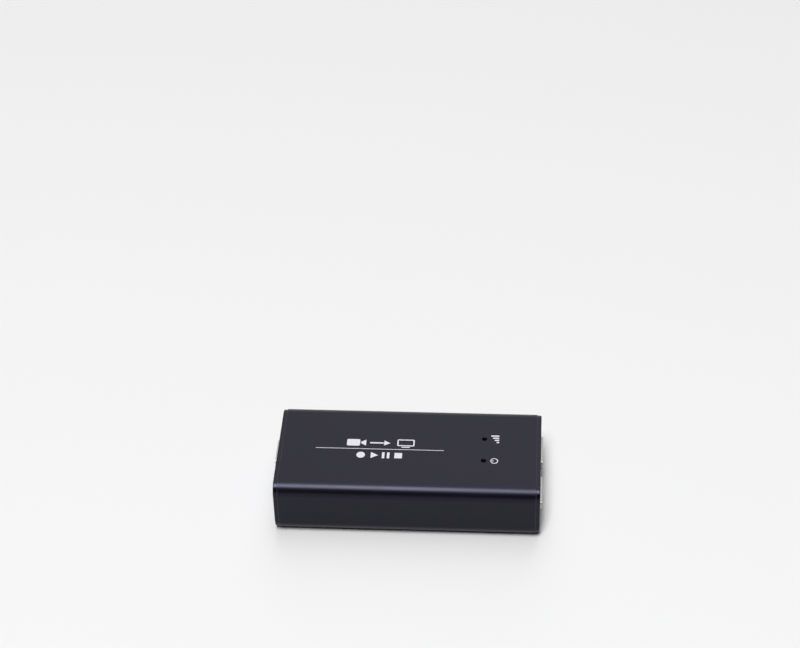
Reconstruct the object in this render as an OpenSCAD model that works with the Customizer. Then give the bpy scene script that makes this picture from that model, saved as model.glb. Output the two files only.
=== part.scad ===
// Video capture box: an extruded aluminium tube, closed by a screwed plate at each end. A circuit board
// lies in the tube's card slots, with two video sockets at the right end and a data socket at the left.
// Millimetres. X runs along the box towards the video end, Y to the back and Z up.
// The origin is on the underside, at the middle of the footprint.

/* [Body] */
// Length over the outer faces of both end plates
body_l = 100; // [94:1:120]
// Width of the tube, front to back
body_w = 47; // [46:0.5:56]
// Height of the tube
body_h = 23; // [22.6:0.2:28]
// Outer radius of the tube's long edges
corner_r = 5; // [4:0.25:6]
// Thickness of the tube's walls
wall_t = 1.6; // [1.2:0.1:1.9]

/* [Card slots] */
// How far the rails of a card slot stand in from the side wall
rail_in = 1.6; // [1.2:0.1:2]
// Thickness of each rail
rail_t = 1.2; // [0.8:0.1:1.6]
// Gap between the lower screw channels and the underside of the board
board_over_channel = 0.2; // [0.1:0.05:0.5]

/* [End plates] */
// Thickness of each end plate
plate_t = 1.5; // [1.4:0.1:2]
// How far a plate's outline lies inside the tube's outline
plate_inset = 0.25; // [0.1:0.05:0.4]
// Bevel round a plate's outer face
plate_bevel = 0.35; // [0.2:0.05:0.5]
// Gap between a socket and its cut-out
cutout_gap = 0.25; // [0.15:0.05:0.4]
// How far the sockets stand out of the plates
socket_proud = 0.8; // [0.4:0.1:1.2]

/* [Screws] */
// Thread diameter of the end plate screws
screw_d = 2.5; // [2.2:0.1:2.6]
// Diameter of the countersunk heads
head_d = 4.7; // [4.2:0.1:4.8]
// Length of a screw, head and all
screw_l = 8; // [6:0.5:12]
// Distance of each screw from the tube's two nearest outer faces
screw_from_edge = 4; // [3.7:0.1:4.2]
// Outer diameter of the screw channels in the tube
channel_d = 5; // [4.8:0.1:5.4]

/* [Board] */
// Thickness of the circuit board
board_t = 1.6; // [1.2:0.1:2]
// Gap between the board and the walls and plates round it
board_gap = 0.4; // [0.3:0.1:0.6]
// Thickness of the insulating film on the tube's floor
film_t = 0.3; // [0.2:0.05:0.5]

/* [Video sockets] */
// Distance between the middles of the two video sockets
video_pitch = 22; // [18:0.5:23]
// Width of the mouth of a video socket
video_mouth_w = 14; // [13:0.1:14.5]
// Height of the mouth
video_mouth_h = 4.55; // [4.2:0.05:5]
// Depth of a video socket
video_depth = 11.5; // [10:0.5:13]
// Thickness of the sheet steel of the sockets' shells
shell_t = 0.4; // [0.3:0.05:0.5]
// Thickness of a video socket's tongue
video_tongue_t = 1.2; // [1:0.1:1.4]

/* [Data socket] */
// Width of the data socket
data_w = 12; // [11.5:0.1:13]
// Gap between the top of the data socket and the tube's ceiling
data_headroom = 1.2; // [0.6:0.1:1.6]
// Depth of the data socket
data_depth = 16; // [14:0.5:18]
// Width of the data socket's mouth
data_mouth_w = 8.5; // [8:0.1:9]
// Share of the mouth's height that its lower, wider part takes
data_mouth_share = 0.757; // [0.72:0.01:0.78]

/* [Indicators] */
// Diameter of the indicator holes in the top
lamp_hole_d = 1.8; // [1.2:0.1:2.6]
// Distance between the two indicators
lamp_pitch = 12; // [9:0.5:16]
// Distance of the indicators from the outer face of the video end plate
lamp_from_end = 21.6; // [20:0.2:24]
// Diameter of the lamps
lamp_d = 3; // [2.6:0.1:3.4]
// Length of a lamp, flange and dome
lamp_l = 5.3; // [4.5:0.1:6]

/* [Cooling] */
// Side of the square heat sink
sink_w = 16; // [14:0.5:18]
// Height of the heat sink
sink_h = 6; // [4:0.5:7]
// Thickness of a fin
fin_t = 1; // [0.8:0.1:1.2]

/* [Hidden] */
$fn = 48;
// Overshoot of a cutter past the face that it cuts
over = 1;

// Derived places of the tube and plates
housing_l = body_l - 2 * plate_t;
plate_in_x = housing_l / 2;
plate_out_x = body_l / 2;
inner_w = body_w - 2 * wall_t;
ceiling_z = body_h - wall_t;
screw_y = body_w / 2 - screw_from_edge;
screw_z = body_h / 2 - screw_from_edge;
channel_top_z = screw_from_edge + channel_d / 2;
// Radial clearances of a screw in its channel and in its plate
thread_clear = 0.05;
plate_hole_clear = 0.15;
// Straight rim of a screw's head, depth of the head below the plate's face, and plate left under its cone
head_rim = 0.2;
head_sink = 0.05;
plate_left = 0.15;
head_cone = plate_t - head_rim - head_sink - plate_left;
// Width of the slit that opens each screw channel into the tube
channel_slit = 1.2;

// Derived places of the board
board_z = channel_top_z + board_over_channel;
board_top = board_z + board_t;
// Height of a card slot, with the board's play in it
slot_play = 0.3;
slot_h = board_t + slot_play;
board_w = inner_w - 2 * board_gap;
board_l = housing_l - 2 * board_gap;
// How far soldered pins reach below the board, and their clearance in it
pin_below = 1.2;
pin_clear = 0.1;

// Video socket: its mouth tapers over the lower part of its sides
video_taper_w = 1.9;
video_taper_h = 1.95;
video_mouth_bottom_w = video_mouth_w - 2 * video_taper_w;
video_corner_r = 0.6;
video_x = plate_out_x + socket_proud;
video_floor_z = board_top + shell_t;
video_back_x = video_x - video_depth;
// Solder legs: length along X, height of their roots over the taper, and distances from the mouth
video_leg_l = 1.2;
video_leg_rise = 1;
video_leg_inset = [4.6, 9.4];
// The tongue stops short of the mouth and grows out of a block, behind which the contacts turn down
video_block_l = 2.6;
video_tongue_back = 0.7;
video_tongue_side = 1.3;
video_tongue_w = video_mouth_w - 2 * video_tongue_side;
video_tongue_under_roof = 2.15;
video_tongue_z = video_floor_z + video_mouth_h - video_tongue_under_roof;
video_contact_w = 0.32;
video_contact_t = 0.12;
video_contact_pitch = 1;
// Tails of the contacts: length past the shell, room for them inside it, and height of their way out
video_tail_l = 0.9;
video_tail_room = 0.7;
video_tail_h = 0.7;
// Sprung fingers cut from the roof and floor of a video shell and bent into its mouth
finger_w = 1.4;
finger_l = 4;
finger_slit = 0.35;
finger_dip = 0.45;
finger_y = 2.8;
finger_from_mouth = 1.6;
insulator_gap = 0.1;
// Clearance of a contact in its groove
groove_clear = 0.04;
// How far the contacts' tips lie behind the tongues' tips
contact_tip_back = 0.6;

// Data socket: a wide lower mouth with a narrower one above it
data_x = -plate_out_x - socket_proud;
data_h = ceiling_z - data_headroom - board_top;
data_shell_t = 0.3;
// Outer radius of the bends along the shell's top, and radius of the corners of its cut-out
data_bend_r = 0.7;
data_cutout_r = 0.5;
data_floor = 0.9;
data_roof = 0.8;
data_mouth_h = data_mouth_share * (data_h - data_floor - data_roof);
data_upper_h = data_h - data_floor - data_roof - data_mouth_h;
data_bevel = 1.3;
data_upper_w = data_mouth_w - 2 * data_bevel;
// Depths of the moulded body and of its mouth; the contacts turn down in the room behind the body
data_tail_room = 4.6;
data_back_t = 1.4;
data_body_l = data_depth - data_tail_room;
data_mouth_l = data_body_l - data_back_t;
// Width and thickness of the lower tongue
data_tongue_side = 1.45;
data_tongue = [data_mouth_w - 2 * data_tongue_side, 0.41 * data_mouth_h];
data_tongue_back = 1;
data_upper_tongue_t = 0.36 * data_upper_h;
data_upper_tongue_side = 0.65;
data_upper_tongue_w = data_upper_w - 2 * data_upper_tongue_side;
data_leg_l = 1.6;
data_leg_x = 8;
data_contact_t = 0.2;
data_contact_w = 0.9;
data_contact_y = 1.25;
data_fine_w = 0.4;
data_fine_pitch = 0.85;
// Depths from the mouth at which the contacts turn down: those under, over and above the lower tongue
data_drop = [data_depth - 3.8, data_depth - 2.7, data_depth - 1.6];

// Indicator lamps
lamp_x = plate_out_x - lamp_from_end;
lamp_gap = 0.3;
lamp_flange_d = lamp_d + 0.8;
lamp_flange_h = 1;
lamp_z = ceiling_z - lamp_gap - lamp_l;
lead_t = 0.5;
lead_pitch = 1.9;
lead_hole_d = 0.9;

// Half the width that parts on the board may take, clear of the rails
rail_clear = 0.4;
parts_y = inner_w / 2 - rail_in - rail_clear;
// Chips: sizes along X, along Y and up, and the middles of their footprints on the board
processor_size = [14, 14, 1.3];
processor_at = [-5, 0];
tape_t = 0.25;
tape_in = 1;
fin_count = 7;
sink_base_t = 1.4;
receiver_size = [10, 10, 1.2];
receiver_at = [13, 0.37 * parts_y];
receiver_leads = 16;
splitter_size = [8, 8, 1];
splitter_at = [13, -0.43 * parts_y];
splitter_leads = 12;
memory_size = [12, 8, 1.1];
memory_at = [for (side = [-1, 1]) [-5, side * 0.7 * parts_y]];
flash_size = [5.2, 4, 1.6];
flash_at = [-18, 0.7 * parts_y];
flash_leads = 4;
crystal_size = [11, 4.6, 3.4];
crystal_at = [[14.5, parts_y - crystal_size[1] / 2], [-19.5, 0.3 * parts_y]];
inductor_size = [4.2, 4.2, 2.2];
inductor_at = [for (share = [0.3, 0.57, 0.84]) [-16.5, -share * parts_y]];
regulator_size = [6.4, 3.6, 1.6];
regulator_lead = 1.4;
regulator_at = [for (side = [-1, 1]) [4.6, side * (parts_y - regulator_size[1] / 2 - regulator_lead)]];
can_d = 5;
can_h = 5.4;
can_at = [for (share = [0.33, 0.66]) [-24.5, -share * parts_y]];
// Small two-terminal parts, and the rows that they stand in
chip_part = [1.6, 0.8, 0.7];
chip_cap_rows = [[4.5, 3.2], [4.5, -4.8]];
row_count = 5;
row_step = 1.4;
surge_size = [1.2, 2.6, 0.6];
surge_pitch = 5;
// Both kinds of part behind the video sockets keep their distance from the sockets' backs
resistor_back = 5.6;
resistor_out = 1;
surge_back = 2;

// Outline helpers

// Points of an arc that rounds the corner at c, between its neighbours p and n
function corner_arc(p, c, n, r, steps) =
    let (
        u = (p - c) / norm(p - c),
        v = (n - c) / norm(n - c),
        half = acos(u * v) / 2,
        mid = c + (u + v) / norm(u + v) * r / sin(half),
        from = c + u * r / tan(half) - mid,
        to = c + v * r / tan(half) - mid,
        a0 = atan2(from[1], from[0]),
        turn = atan2(from[0] * to[1] - from[1] * to[0], from * to)
    )
    [for (i = [0:steps]) mid + r * [cos(a0 + turn * i / steps), sin(a0 + turn * i / steps)]];

// A polygon with every corner rounded to radius r
function rounded(points, r, steps = 5) =
    let (n = len(points))
    [for (i = [0:n - 1]) each corner_arc(points[(i + n - 1) % n], points[i], points[(i + 1) % n], r, steps)];

// Extrudes a profile, drawn with Y to the right and Z up, from x = from over a length along +X
module along_x(from, length) {
    translate([from, 0, 0]) rotate([90, 0, 90]) linear_extrude(length) children();
}

// A box between two corners
module box_between(a, b) {
    translate([for (i = [0:2]) min(a[i], b[i])]) cube([for (i = [0:2]) abs(b[i] - a[i])]);
}

// A flat strip of width w and thickness t, square to Y at y, along [x, z] points that turn at right angles
module bent_strip(path, y, w, t, clear = 0) {
    grow = t / 2 + clear;
    for (i = [1:len(path) - 1]) {
        a = path[i - 1];
        b = path[i];
        box_between([min(a[0], b[0]) - grow, y - w / 2 - clear, min(a[1], b[1]) - grow],
            [max(a[0], b[0]) + grow, y + w / 2 + clear, max(a[1], b[1]) + grow]);
    }
}

// A box that stands on the board, centred on a point of it
module on_board(at, size) {
    translate([at[0] - size[0] / 2, at[1] - size[1] / 2, board_top]) cube(size);
}

// The tube's outline, moved in by a distance, with true round corners
module body_outline(inset) {
    w = body_w - 2 * inset;
    h = body_h - 2 * inset;
    r = corner_r - inset;
    translate([0, body_h / 2]) {
        square([w - 2 * r, h], center = true);
        square([w, h - 2 * r], center = true);
        for (sy = [-1, 1], sz = [-1, 1]) translate([sy * (w / 2 - r), sz * (h / 2 - r)]) circle(r);
    }
}

// Repeats its children at the four screw places of an end
module at_screws() {
    for (sy = [-1, 1], sz = [-1, 1]) translate([sy * screw_y, body_h / 2 + sz * screw_z]) children();
}

// The tube

module card_rails() {
    for (side = [-1, 1]) {
        for (z = [board_z - rail_t, board_z + slot_h]) {
            y = side * (inner_w / 2 - rail_in);
            translate([min(y, side * (inner_w / 2 + wall_t / 2)), z]) square([rail_in + wall_t / 2, rail_t]);
        }
    }
}

module channel_slits() {
    for (sy = [-1, 1], sz = [-1, 1]) {
        translate([sy * screw_y, body_h / 2 + sz * screw_z])
            rotate(atan2(-sz, -sy)) translate([0, -channel_slit / 2]) square([channel_d, channel_slit]);
    }
}

module housing_profile() {
    difference() {
        union() {
            difference() {
                body_outline(0);
                body_outline(wall_t);
            }
            card_rails();
            at_screws() circle(d = channel_d);
        }
        at_screws() circle(d = screw_d + 2 * thread_clear);
        channel_slits();
    }
}

module housing() {
    color([0.06, 0.057, 0.08]) difference() {
        along_x(-housing_l / 2, housing_l) housing_profile();
        for (side = [-1, 1]) translate([lamp_x, side * lamp_pitch / 2, ceiling_z - over])
            cylinder(d = lamp_hole_d, h = wall_t + 2 * over);
    }
}

// The end plates and their screws

// A plate lying on the YZ outline, thickening along +X from its inner face, with a bevelled outer rim
module plate_blank() {
    r = corner_r - plate_inset;
    half_w = body_w / 2 - plate_inset;
    half_h = body_h / 2 - plate_inset;
    flat_t = plate_t - plate_bevel;
    along_x(0, flat_t) body_outline(plate_inset);
    translate([flat_t, 0, body_h / 2]) {
        // Two ridges with sloping sides, and a cone at each corner
        rotate([90, 0, 0]) translate([0, 0, -(half_w - r)]) linear_extrude(2 * (half_w - r))
            polygon([[0, -half_h], [plate_bevel, plate_bevel - half_h],
                [plate_bevel, half_h - plate_bevel], [0, half_h]]);
        translate([0, 0, -(half_h - r)]) linear_extrude(2 * (half_h - r))
            polygon([[0, -half_w], [plate_bevel, plate_bevel - half_w],
                [plate_bevel, half_w - plate_bevel], [0, half_w]]);
        for (sy = [-1, 1], sz = [-1, 1]) translate([0, sy * (half_w - r), sz * (half_h - r)])
            rotate([0, 90, 0]) cylinder(r1 = r, r2 = r - plate_bevel, h = plate_bevel);
    }
}

// Radius and height points of a screw, head up, with its flat face at z = 0
function screw_points(clear) =
    let (
        shank = screw_d / 2,
        tip = 0.8
    )
    [[0, 0], [head_d / 2 + clear, 0], [head_d / 2 + clear, -head_rim],
        [shank + clear, -head_rim - head_cone], [shank + clear, tip - screw_l],
        [shank + clear - tip / 2, -screw_l],
        [0, -screw_l]];

module screw() {
    recess_w = 0.7;
    recess_l = 0.55 * head_d;
    recess_depth = 1.1;
    difference() {
        rotate_extrude() polygon(screw_points(0));
        for (turn = [0, 90]) rotate(turn) translate([-recess_l / 2, -recess_w / 2, -recess_depth])
            cube([recess_l, recess_w, recess_depth + over]);
    }
}

// Countersunk hole for a screw, open above the plate's face
module screw_hole() {
    rotate_extrude() polygon(screw_points(plate_hole_clear));
    cylinder(d = head_d + 2 * plate_hole_clear, h = over);
}

// Repeats its children at the screws of one end, with their Z pointing out of that end
module at_end_screws(end, depth) {
    for (sy = [-1, 1], sz = [-1, 1])
        translate([end * (plate_out_x - depth), sy * screw_y, body_h / 2 + sz * screw_z])
            rotate([0, end * 90, 0]) children();
}

module video_end_plate() {
    color([0.06, 0.057, 0.08]) difference() {
        translate([plate_in_x, 0, 0]) plate_blank();
        at_end_screws(1, head_sink) screw_hole();
        for (side = [-1, 1]) translate([0, side * video_pitch / 2, 0])
            along_x(plate_in_x - over, plate_t + 2 * over)
                polygon(video_outline(shell_t + cutout_gap));
    }
}

module data_end_plate() {
    color([0.06, 0.057, 0.08]) difference() {
        translate([-plate_in_x, 0, 0]) mirror([1, 0, 0]) plate_blank();
        at_end_screws(-1, head_sink) screw_hole();
        along_x(-plate_out_x - over, plate_t + 2 * over) polygon(data_cutout_outline());
    }
}

module video_end_screws() {
    color([0.1, 0.1, 0.11]) at_end_screws(1, head_sink) screw();
}

module data_end_screws() {
    color([0.1, 0.1, 0.11]) at_end_screws(-1, head_sink) screw();
}

// The board

// Places of the solder legs of the two video sockets, as [x, y]
function video_legs() =
    [for (side = [-1, 1], edge = [-1, 1], back = video_leg_inset)
        [video_x - back, side * video_pitch / 2 + edge * (video_mouth_w + shell_t) / 2]];

// Places of the solder legs of the data socket
function data_legs() =
    [for (edge = [-1, 1]) [data_x + data_leg_x, edge * (data_w - data_shell_t) / 2]];

// Places of the lamps' leads
function lamp_lead_places() =
    [for (side = [-1, 1], lead = [-1, 1]) [lamp_x, side * lamp_pitch / 2 + lead * lead_pitch / 2]];

// A flat solder leg from a height down through the board
module leg(at, length, thickness, top, clear = 0) {
    bottom = board_z - (clear > 0 ? over : pin_below);
    translate([at[0] - length / 2 - clear, at[1] - thickness / 2 - clear, bottom])
        cube([length + 2 * clear, thickness + 2 * clear, top - bottom]);
}

module main_board() {
    color([0.05, 0.25, 0.12]) difference() {
        box_between([-board_l / 2, -board_w / 2, board_z], [board_l / 2, board_w / 2, board_top]);
        for (at = video_legs()) leg(at, video_leg_l, shell_t, board_top + over, pin_clear);
        for (at = data_legs()) leg(at, data_leg_l, data_shell_t, board_top + over, pin_clear);
        data_contact_set(pin_clear);
        for (at = lamp_lead_places()) translate([at[0], at[1], board_z - over])
            cylinder(d = lead_hole_d, h = board_t + 2 * over);
    }
}

module insulating_film() {
    half_w = screw_y - channel_d / 2 - board_gap;
    color([0.85, 0.85, 0.8])
        box_between([-board_l / 2, -half_w, wall_t], [board_l / 2, half_w, wall_t + film_t]);
}

// Video sockets

// Outline of a video socket's mouth, wider at the top, grown by a distance; Y from its middle, Z up
function video_outline(grow) =
    let (
        bottom = video_mouth_bottom_w / 2,
        top = video_mouth_w / 2,
        slope = atan2(video_taper_h, top - bottom),
        low = bottom + grow * tan(slope / 2),
        side_z = video_floor_z + video_taper_h - grow * tan(45 - slope / 2),
        floor_z = video_floor_z - grow,
        roof_z = video_floor_z + video_mouth_h + grow
    )
    rounded([[-low, floor_z], [low, floor_z], [top + grow, side_z], [top + grow, roof_z],
        [-top - grow, roof_z], [-top - grow, side_z]], video_corner_r + grow / 2);

// One sprung finger along -X from its root, drawn below a roof at z = 0
module finger() {
    t = 0.7 * shell_t;
    root_x = 0.3;
    knee_x = -0.7 * finger_l;
    tip_x = finger_slit - finger_l;
    rotate([90, 0, 0]) translate([0, 0, -finger_w / 2]) linear_extrude(finger_w)
        polygon([[root_x, 0], [root_x, t], [-0.2, t], [knee_x, t - finger_dip - 0.1],
            [tip_x, t - finger_dip / 2], [tip_x, -finger_dip / 2], [knee_x, -finger_dip], [-0.1, 0]]);
}

// Repeats its children at the roots of a shell's four fingers, those in the floor turned over
module at_fingers() {
    for (face = [0, 1], side = [-1, 1])
        translate([video_x - finger_from_mouth, side * finger_y, video_floor_z + (1 - face) * video_mouth_h])
            mirror([0, 0, face]) children();
}

// Folded sheet shell with sprung fingers, four solder legs and a back wall that leaves room for the tails
module video_shell() {
    difference() {
        union() {
            along_x(video_back_x, video_depth) polygon(video_outline(shell_t));
            for (edge = [-1, 1], back = video_leg_inset)
                leg([video_x - back, edge * (video_mouth_w + shell_t) / 2], video_leg_l, shell_t,
                    video_floor_z + video_taper_h + video_leg_rise);
        }
        along_x(video_back_x + shell_t, video_depth) polygon(video_outline(0));
        at_fingers() translate([-finger_l, -finger_w / 2 - finger_slit, -over / 2])
            cube([finger_l, finger_w + 2 * finger_slit, over + shell_t]);
        box_between([video_back_x - over, -video_mouth_bottom_w / 2, board_top - over],
            [video_back_x + shell_t + video_tail_room, video_mouth_bottom_w / 2, board_top + video_tail_h]);
    }
    at_fingers() finger();
}

// Block at the back of the shell, and the tongue with a groove for each contact
module video_insulator() {
    block_x = video_back_x + shell_t + video_tail_room;
    difference() {
        union() {
            along_x(block_x, video_block_l) polygon(video_outline(-insulator_gap));
            box_between([block_x, -video_tongue_w / 2, video_tongue_z - video_tongue_t / 2],
                [video_x - video_tongue_back, video_tongue_w / 2, video_tongue_z + video_tongue_t / 2]);
        }
        video_contact_set(groove_clear);
    }
}

// Ten contacts over the tongue and nine under it, down behind the block and out at the back to their pads
module video_contact_set(clear) {
    tip_x = video_x - video_tongue_back - contact_tip_back;
    drop_x = video_back_x + shell_t + video_tail_room / 2;
    foot_z = board_top + video_contact_t / 2;
    for (face = [1, -1]) {
        count = face > 0 ? 10 : 9;
        z = video_tongue_z + face * (video_tongue_t - video_contact_t) / 2;
        path = [[tip_x, z], [drop_x, z], [drop_x, foot_z], [video_back_x - video_tail_l, foot_z]];
        for (i = [0:count - 1])
            bent_strip(path, (i - (count - 1) / 2) * video_contact_pitch,
                video_contact_w, video_contact_t, clear);
    }
}

module at_video_in() {
    translate([0, video_pitch / 2, 0]) children();
}

module at_video_out() {
    translate([0, -video_pitch / 2, 0]) children();
}

module video_in_shell() {
    color([0.75, 0.75, 0.74]) at_video_in() video_shell();
}

module video_out_shell() {
    color([0.75, 0.75, 0.74]) at_video_out() video_shell();
}

module video_in_insulator() {
    color([0.05, 0.05, 0.05]) at_video_in() video_insulator();
}

module video_out_insulator() {
    color([0.05, 0.05, 0.05]) at_video_out() video_insulator();
}

module video_in_contacts() {
    color([0.83, 0.65, 0.25]) at_video_in() video_contact_set(0);
}

module video_out_contacts() {
    color([0.83, 0.65, 0.25]) at_video_out() video_contact_set(0);
}

// Data socket

// Outline of the data socket's mouth: a wide lower part with bevelled shoulders under a narrower slot
function data_mouth_outline() =
    let (
        half = data_mouth_w / 2,
        slot = data_upper_w / 2,
        z0 = board_top + data_floor,
        z1 = z0 + data_mouth_h
    )
    [[-half, z0], [half, z0], [half, z1 - data_bevel], [slot, z1], [slot, z1 + data_upper_h],
        [-slot, z1 + data_upper_h], [-slot, z1], [-half, z1 - data_bevel]];

// Cut-out for the data socket in its plate
function data_cutout_outline() =
    let (
        half = data_w / 2 + cutout_gap,
        z0 = board_top - cutout_gap,
        z1 = board_top + data_h + cutout_gap
    )
    rounded([[-half, z0], [half, z0], [half, z1], [-half, z1]], data_cutout_r);

// Profile of the data socket over the board, moved in by a distance, with round bends along its top
module data_profile(inset, below = 0) {
    half = data_w / 2 - inset;
    roof = data_h - inset;
    r = data_bend_r - inset;
    translate([0, board_top]) {
        translate([-half, -below]) square([2 * half, roof - r + below]);
        translate([r - half, 0]) square([2 * (half - r), roof]);
        for (side = [-1, 1]) translate([side * (half - r), roof - r]) circle(r);
    }
}

// Folded sheet shell over the top, sides and back of the data socket
module data_shell() {
    color([0.75, 0.75, 0.74]) union() {
        difference() {
            along_x(data_x, data_depth) data_profile(0);
            along_x(data_x - over, data_depth - data_shell_t + over) data_profile(data_shell_t, over);
        }
        for (at = data_legs()) leg(at, data_leg_l, data_shell_t, board_top + over);
    }
}

function data_tongue_z() = board_top + data_floor + data_mouth_h / 2;
function data_upper_tongue_z() = board_top + data_floor + data_mouth_h + data_upper_h / 2;

// Moulded body with the mouth, its thick lower tongue, its thin upper tongue and the contacts' grooves
module data_insulator() {
    mouth_back_x = data_x + data_mouth_l;
    tongue_x = data_x + data_tongue_back;
    color([0.1, 0.3, 0.75]) difference() {
        union() {
            difference() {
                along_x(data_x, data_body_l) data_profile(data_shell_t + insulator_gap);
                along_x(data_x - over, data_mouth_l + over) polygon(data_mouth_outline());
            }
            box_between([tongue_x, -data_tongue[0] / 2, data_tongue_z() - data_tongue[1] / 2],
                [mouth_back_x + over, data_tongue[0] / 2, data_tongue_z() + data_tongue[1] / 2]);
            box_between([tongue_x, -data_upper_tongue_w / 2, data_upper_tongue_z()],
                [mouth_back_x + over, data_upper_tongue_w / 2, data_upper_tongue_z() + data_upper_tongue_t]);
        }
        data_contact_set(groove_clear);
    }
}

// Two contacts on each face of the lower tongue and five under the upper one, down through the board
module data_contact_set(clear) {
    tip_x = data_x + data_tongue_back + contact_tip_back;
    foot_z = board_z - pin_below;
    inlay = data_contact_t / 2;
    lower = data_tongue[1] / 2 - inlay;
    for (side = [-1, 1]) {
        for (row = [0, 1]) {
            z = data_tongue_z() + (row == 0 ? -lower : lower);
            bent_strip([[tip_x, z], [data_x + data_drop[row], z], [data_x + data_drop[row], foot_z]],
                side * data_contact_y, data_contact_w, data_contact_t, clear);
        }
    }
    for (i = [-2:2]) {
        z = data_upper_tongue_z() + inlay;
        bent_strip([[tip_x, z], [data_x + data_drop[2], z], [data_x + data_drop[2], foot_z]],
            i * data_fine_pitch, data_fine_w, data_contact_t, clear);
    }
}

module data_contacts() {
    color([0.83, 0.65, 0.25]) data_contact_set(0);
}

// Indicator lamps

// Domed lamp with a flange at its foot
module lamp(side) {
    translate([lamp_x, side * lamp_pitch / 2, lamp_z]) {
        cylinder(d = lamp_flange_d, h = lamp_flange_h);
        cylinder(d = lamp_d, h = lamp_l - lamp_d / 2);
        translate([0, 0, lamp_l - lamp_d / 2]) sphere(d = lamp_d);
    }
}

// Round spacer that holds a lamp up under its hole, with a bore for each lead
module lamp_spacer(side) {
    translate([lamp_x, side * lamp_pitch / 2, board_top]) difference() {
        cylinder(d = lamp_flange_d, h = lamp_z - board_top);
        for (lead = [-1, 1]) translate([0, lead * lead_pitch / 2, -over])
            cylinder(d = lead_hole_d, h = lamp_z - board_top + 2 * over);
    }
}

module signal_lamp() {
    color([0.85, 0.87, 0.85]) lamp(1);
}

module power_lamp() {
    color([0.85, 0.87, 0.85]) lamp(-1);
}

module signal_lamp_spacer() {
    color([0.12, 0.12, 0.12]) lamp_spacer(1);
}

module power_lamp_spacer() {
    color([0.12, 0.12, 0.12]) lamp_spacer(-1);
}

module lamp_leads() {
    color([0.75, 0.75, 0.74]) for (at = lamp_lead_places()) leg(at, lead_t, lead_t, lamp_z);
}

// Chips and the small parts round them

// Moulded body with a round dimple at the corner of its first lead
module chip_body(at, size) {
    dimple_d = 0.8;
    dimple_depth = 0.12;
    corner = [size[0] / 2 - dimple_d, size[1] / 2 - dimple_d];
    difference() {
        on_board(at, size);
        translate([at[0] - corner[0], at[1] - corner[1], board_top + size[2] - dimple_depth])
            cylinder(d = dimple_d, h = over);
    }
}

// Flat package with a row of leads along each side of its footprint that has a count above zero
module leaded_chip(at, size, count_x, count_y) {
    lead_w = 0.3;
    lead_l = 0.9;
    lead_h = 0.25;
    stand = 0.1;
    // The leads start inside the moulding
    lead_in = 0.2;
    reach = lead_l + lead_in;
    from_x = (size[0] + lead_l - lead_in) / 2;
    from_y = (size[1] + lead_l - lead_in) / 2;
    translate([0, 0, stand]) chip_body(at, [size[0], size[1], size[2] - stand]);
    pitch_x = size[0] / (count_x + 1);
    pitch_y = size[1] / (count_y + 1);
    for (side = [-1, 1]) {
        for (i = [1:1:count_x])
            on_board(at + [i * pitch_x - size[0] / 2, side * from_y], [lead_w, reach, lead_h]);
        for (i = [1:1:count_y])
            on_board(at + [side * from_x, i * pitch_y - size[1] / 2], [reach, lead_w, lead_h]);
    }
}

// Ball-grid package: a thinner moulding on a laminate of the full size
module capture_processor() {
    laminate_t = 0.5;
    step_in = 0.6;
    color([0.1, 0.1, 0.1]) {
        on_board(processor_at, [processor_size[0], processor_size[1], laminate_t]);
        on_board(processor_at, [processor_size[0] - 2 * step_in, processor_size[1] - 2 * step_in,
            processor_size[2]]);
    }
}

module thermal_tape() {
    w = processor_size[0] - 2 * tape_in;
    color([0.75, 0.75, 0.7]) translate([0, 0, processor_size[2]]) on_board(processor_at, [w, w, tape_t]);
}

module heat_sink() {
    fin_step = (sink_w - fin_t) / (fin_count - 1);
    color([0.25, 0.25, 0.27]) translate([0, 0, processor_size[2] + tape_t]) {
        on_board(processor_at, [sink_w, sink_w, sink_base_t]);
        for (i = [0:fin_count - 1])
            on_board(processor_at + [0, (i - (fin_count - 1) / 2) * fin_step], [sink_w, fin_t, sink_h]);
    }
}

module video_receiver() {
    color([0.1, 0.1, 0.1]) leaded_chip(receiver_at, receiver_size, receiver_leads, receiver_leads);
}

module video_splitter() {
    color([0.1, 0.1, 0.1]) leaded_chip(splitter_at, splitter_size, splitter_leads, splitter_leads);
}

module memory_chips() {
    color([0.1, 0.1, 0.1]) for (at = memory_at) chip_body(at, memory_size);
}

module flash_chip() {
    color([0.1, 0.1, 0.1]) leaded_chip(flash_at, flash_size, flash_leads, 0);
}

// A can with round ends, standing on the board
module round_ended(at, length, width, height) {
    straight = length - width;
    on_board(at, [straight, width, height]);
    for (side = [-1, 1]) translate([at[0] + side * straight / 2, at[1], board_top])
        cylinder(d = width, h = height);
}

// Drawn cans, each welded to a flange at its foot
module crystals() {
    flange = 0.5;
    flange_h = 0.4;
    color([0.78, 0.78, 0.76]) for (at = crystal_at) {
        round_ended(at, crystal_size[0] - flange, crystal_size[1] - flange, crystal_size[2]);
        round_ended(at, crystal_size[0], crystal_size[1], flange_h);
    }
}

// Shielded inductors: a square ferrite with a round gap about its core
module inductors() {
    core_d = 0.62 * inductor_size[0];
    gap_d = 0.78 * inductor_size[0];
    gap_depth = 0.5;
    color([0.2, 0.2, 0.2]) for (at = inductor_at) difference() {
        on_board(at, inductor_size);
        translate([at[0], at[1], board_top + inductor_size[2] - gap_depth]) difference() {
            cylinder(d = gap_d, h = over);
            translate([0, 0, -over]) cylinder(d = core_d, h = 3 * over);
        }
    }
}

// Moulded regulators with three leads in front and a wide tab behind
module voltage_regulators() {
    lead_in = 0.3;
    lead = [0.7, regulator_lead + lead_in, 0.3];
    tab = [3, regulator_lead + lead_in, 0.3];
    pitch = 2.3;
    from_y = (regulator_size[1] + regulator_lead - lead_in) / 2;
    color([0.1, 0.1, 0.1]) for (at = regulator_at) {
        on_board(at, regulator_size);
        for (i = [-1:1]) on_board(at + [i * pitch, -from_y], lead);
        on_board(at + [0, from_y], tab);
    }
}

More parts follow.
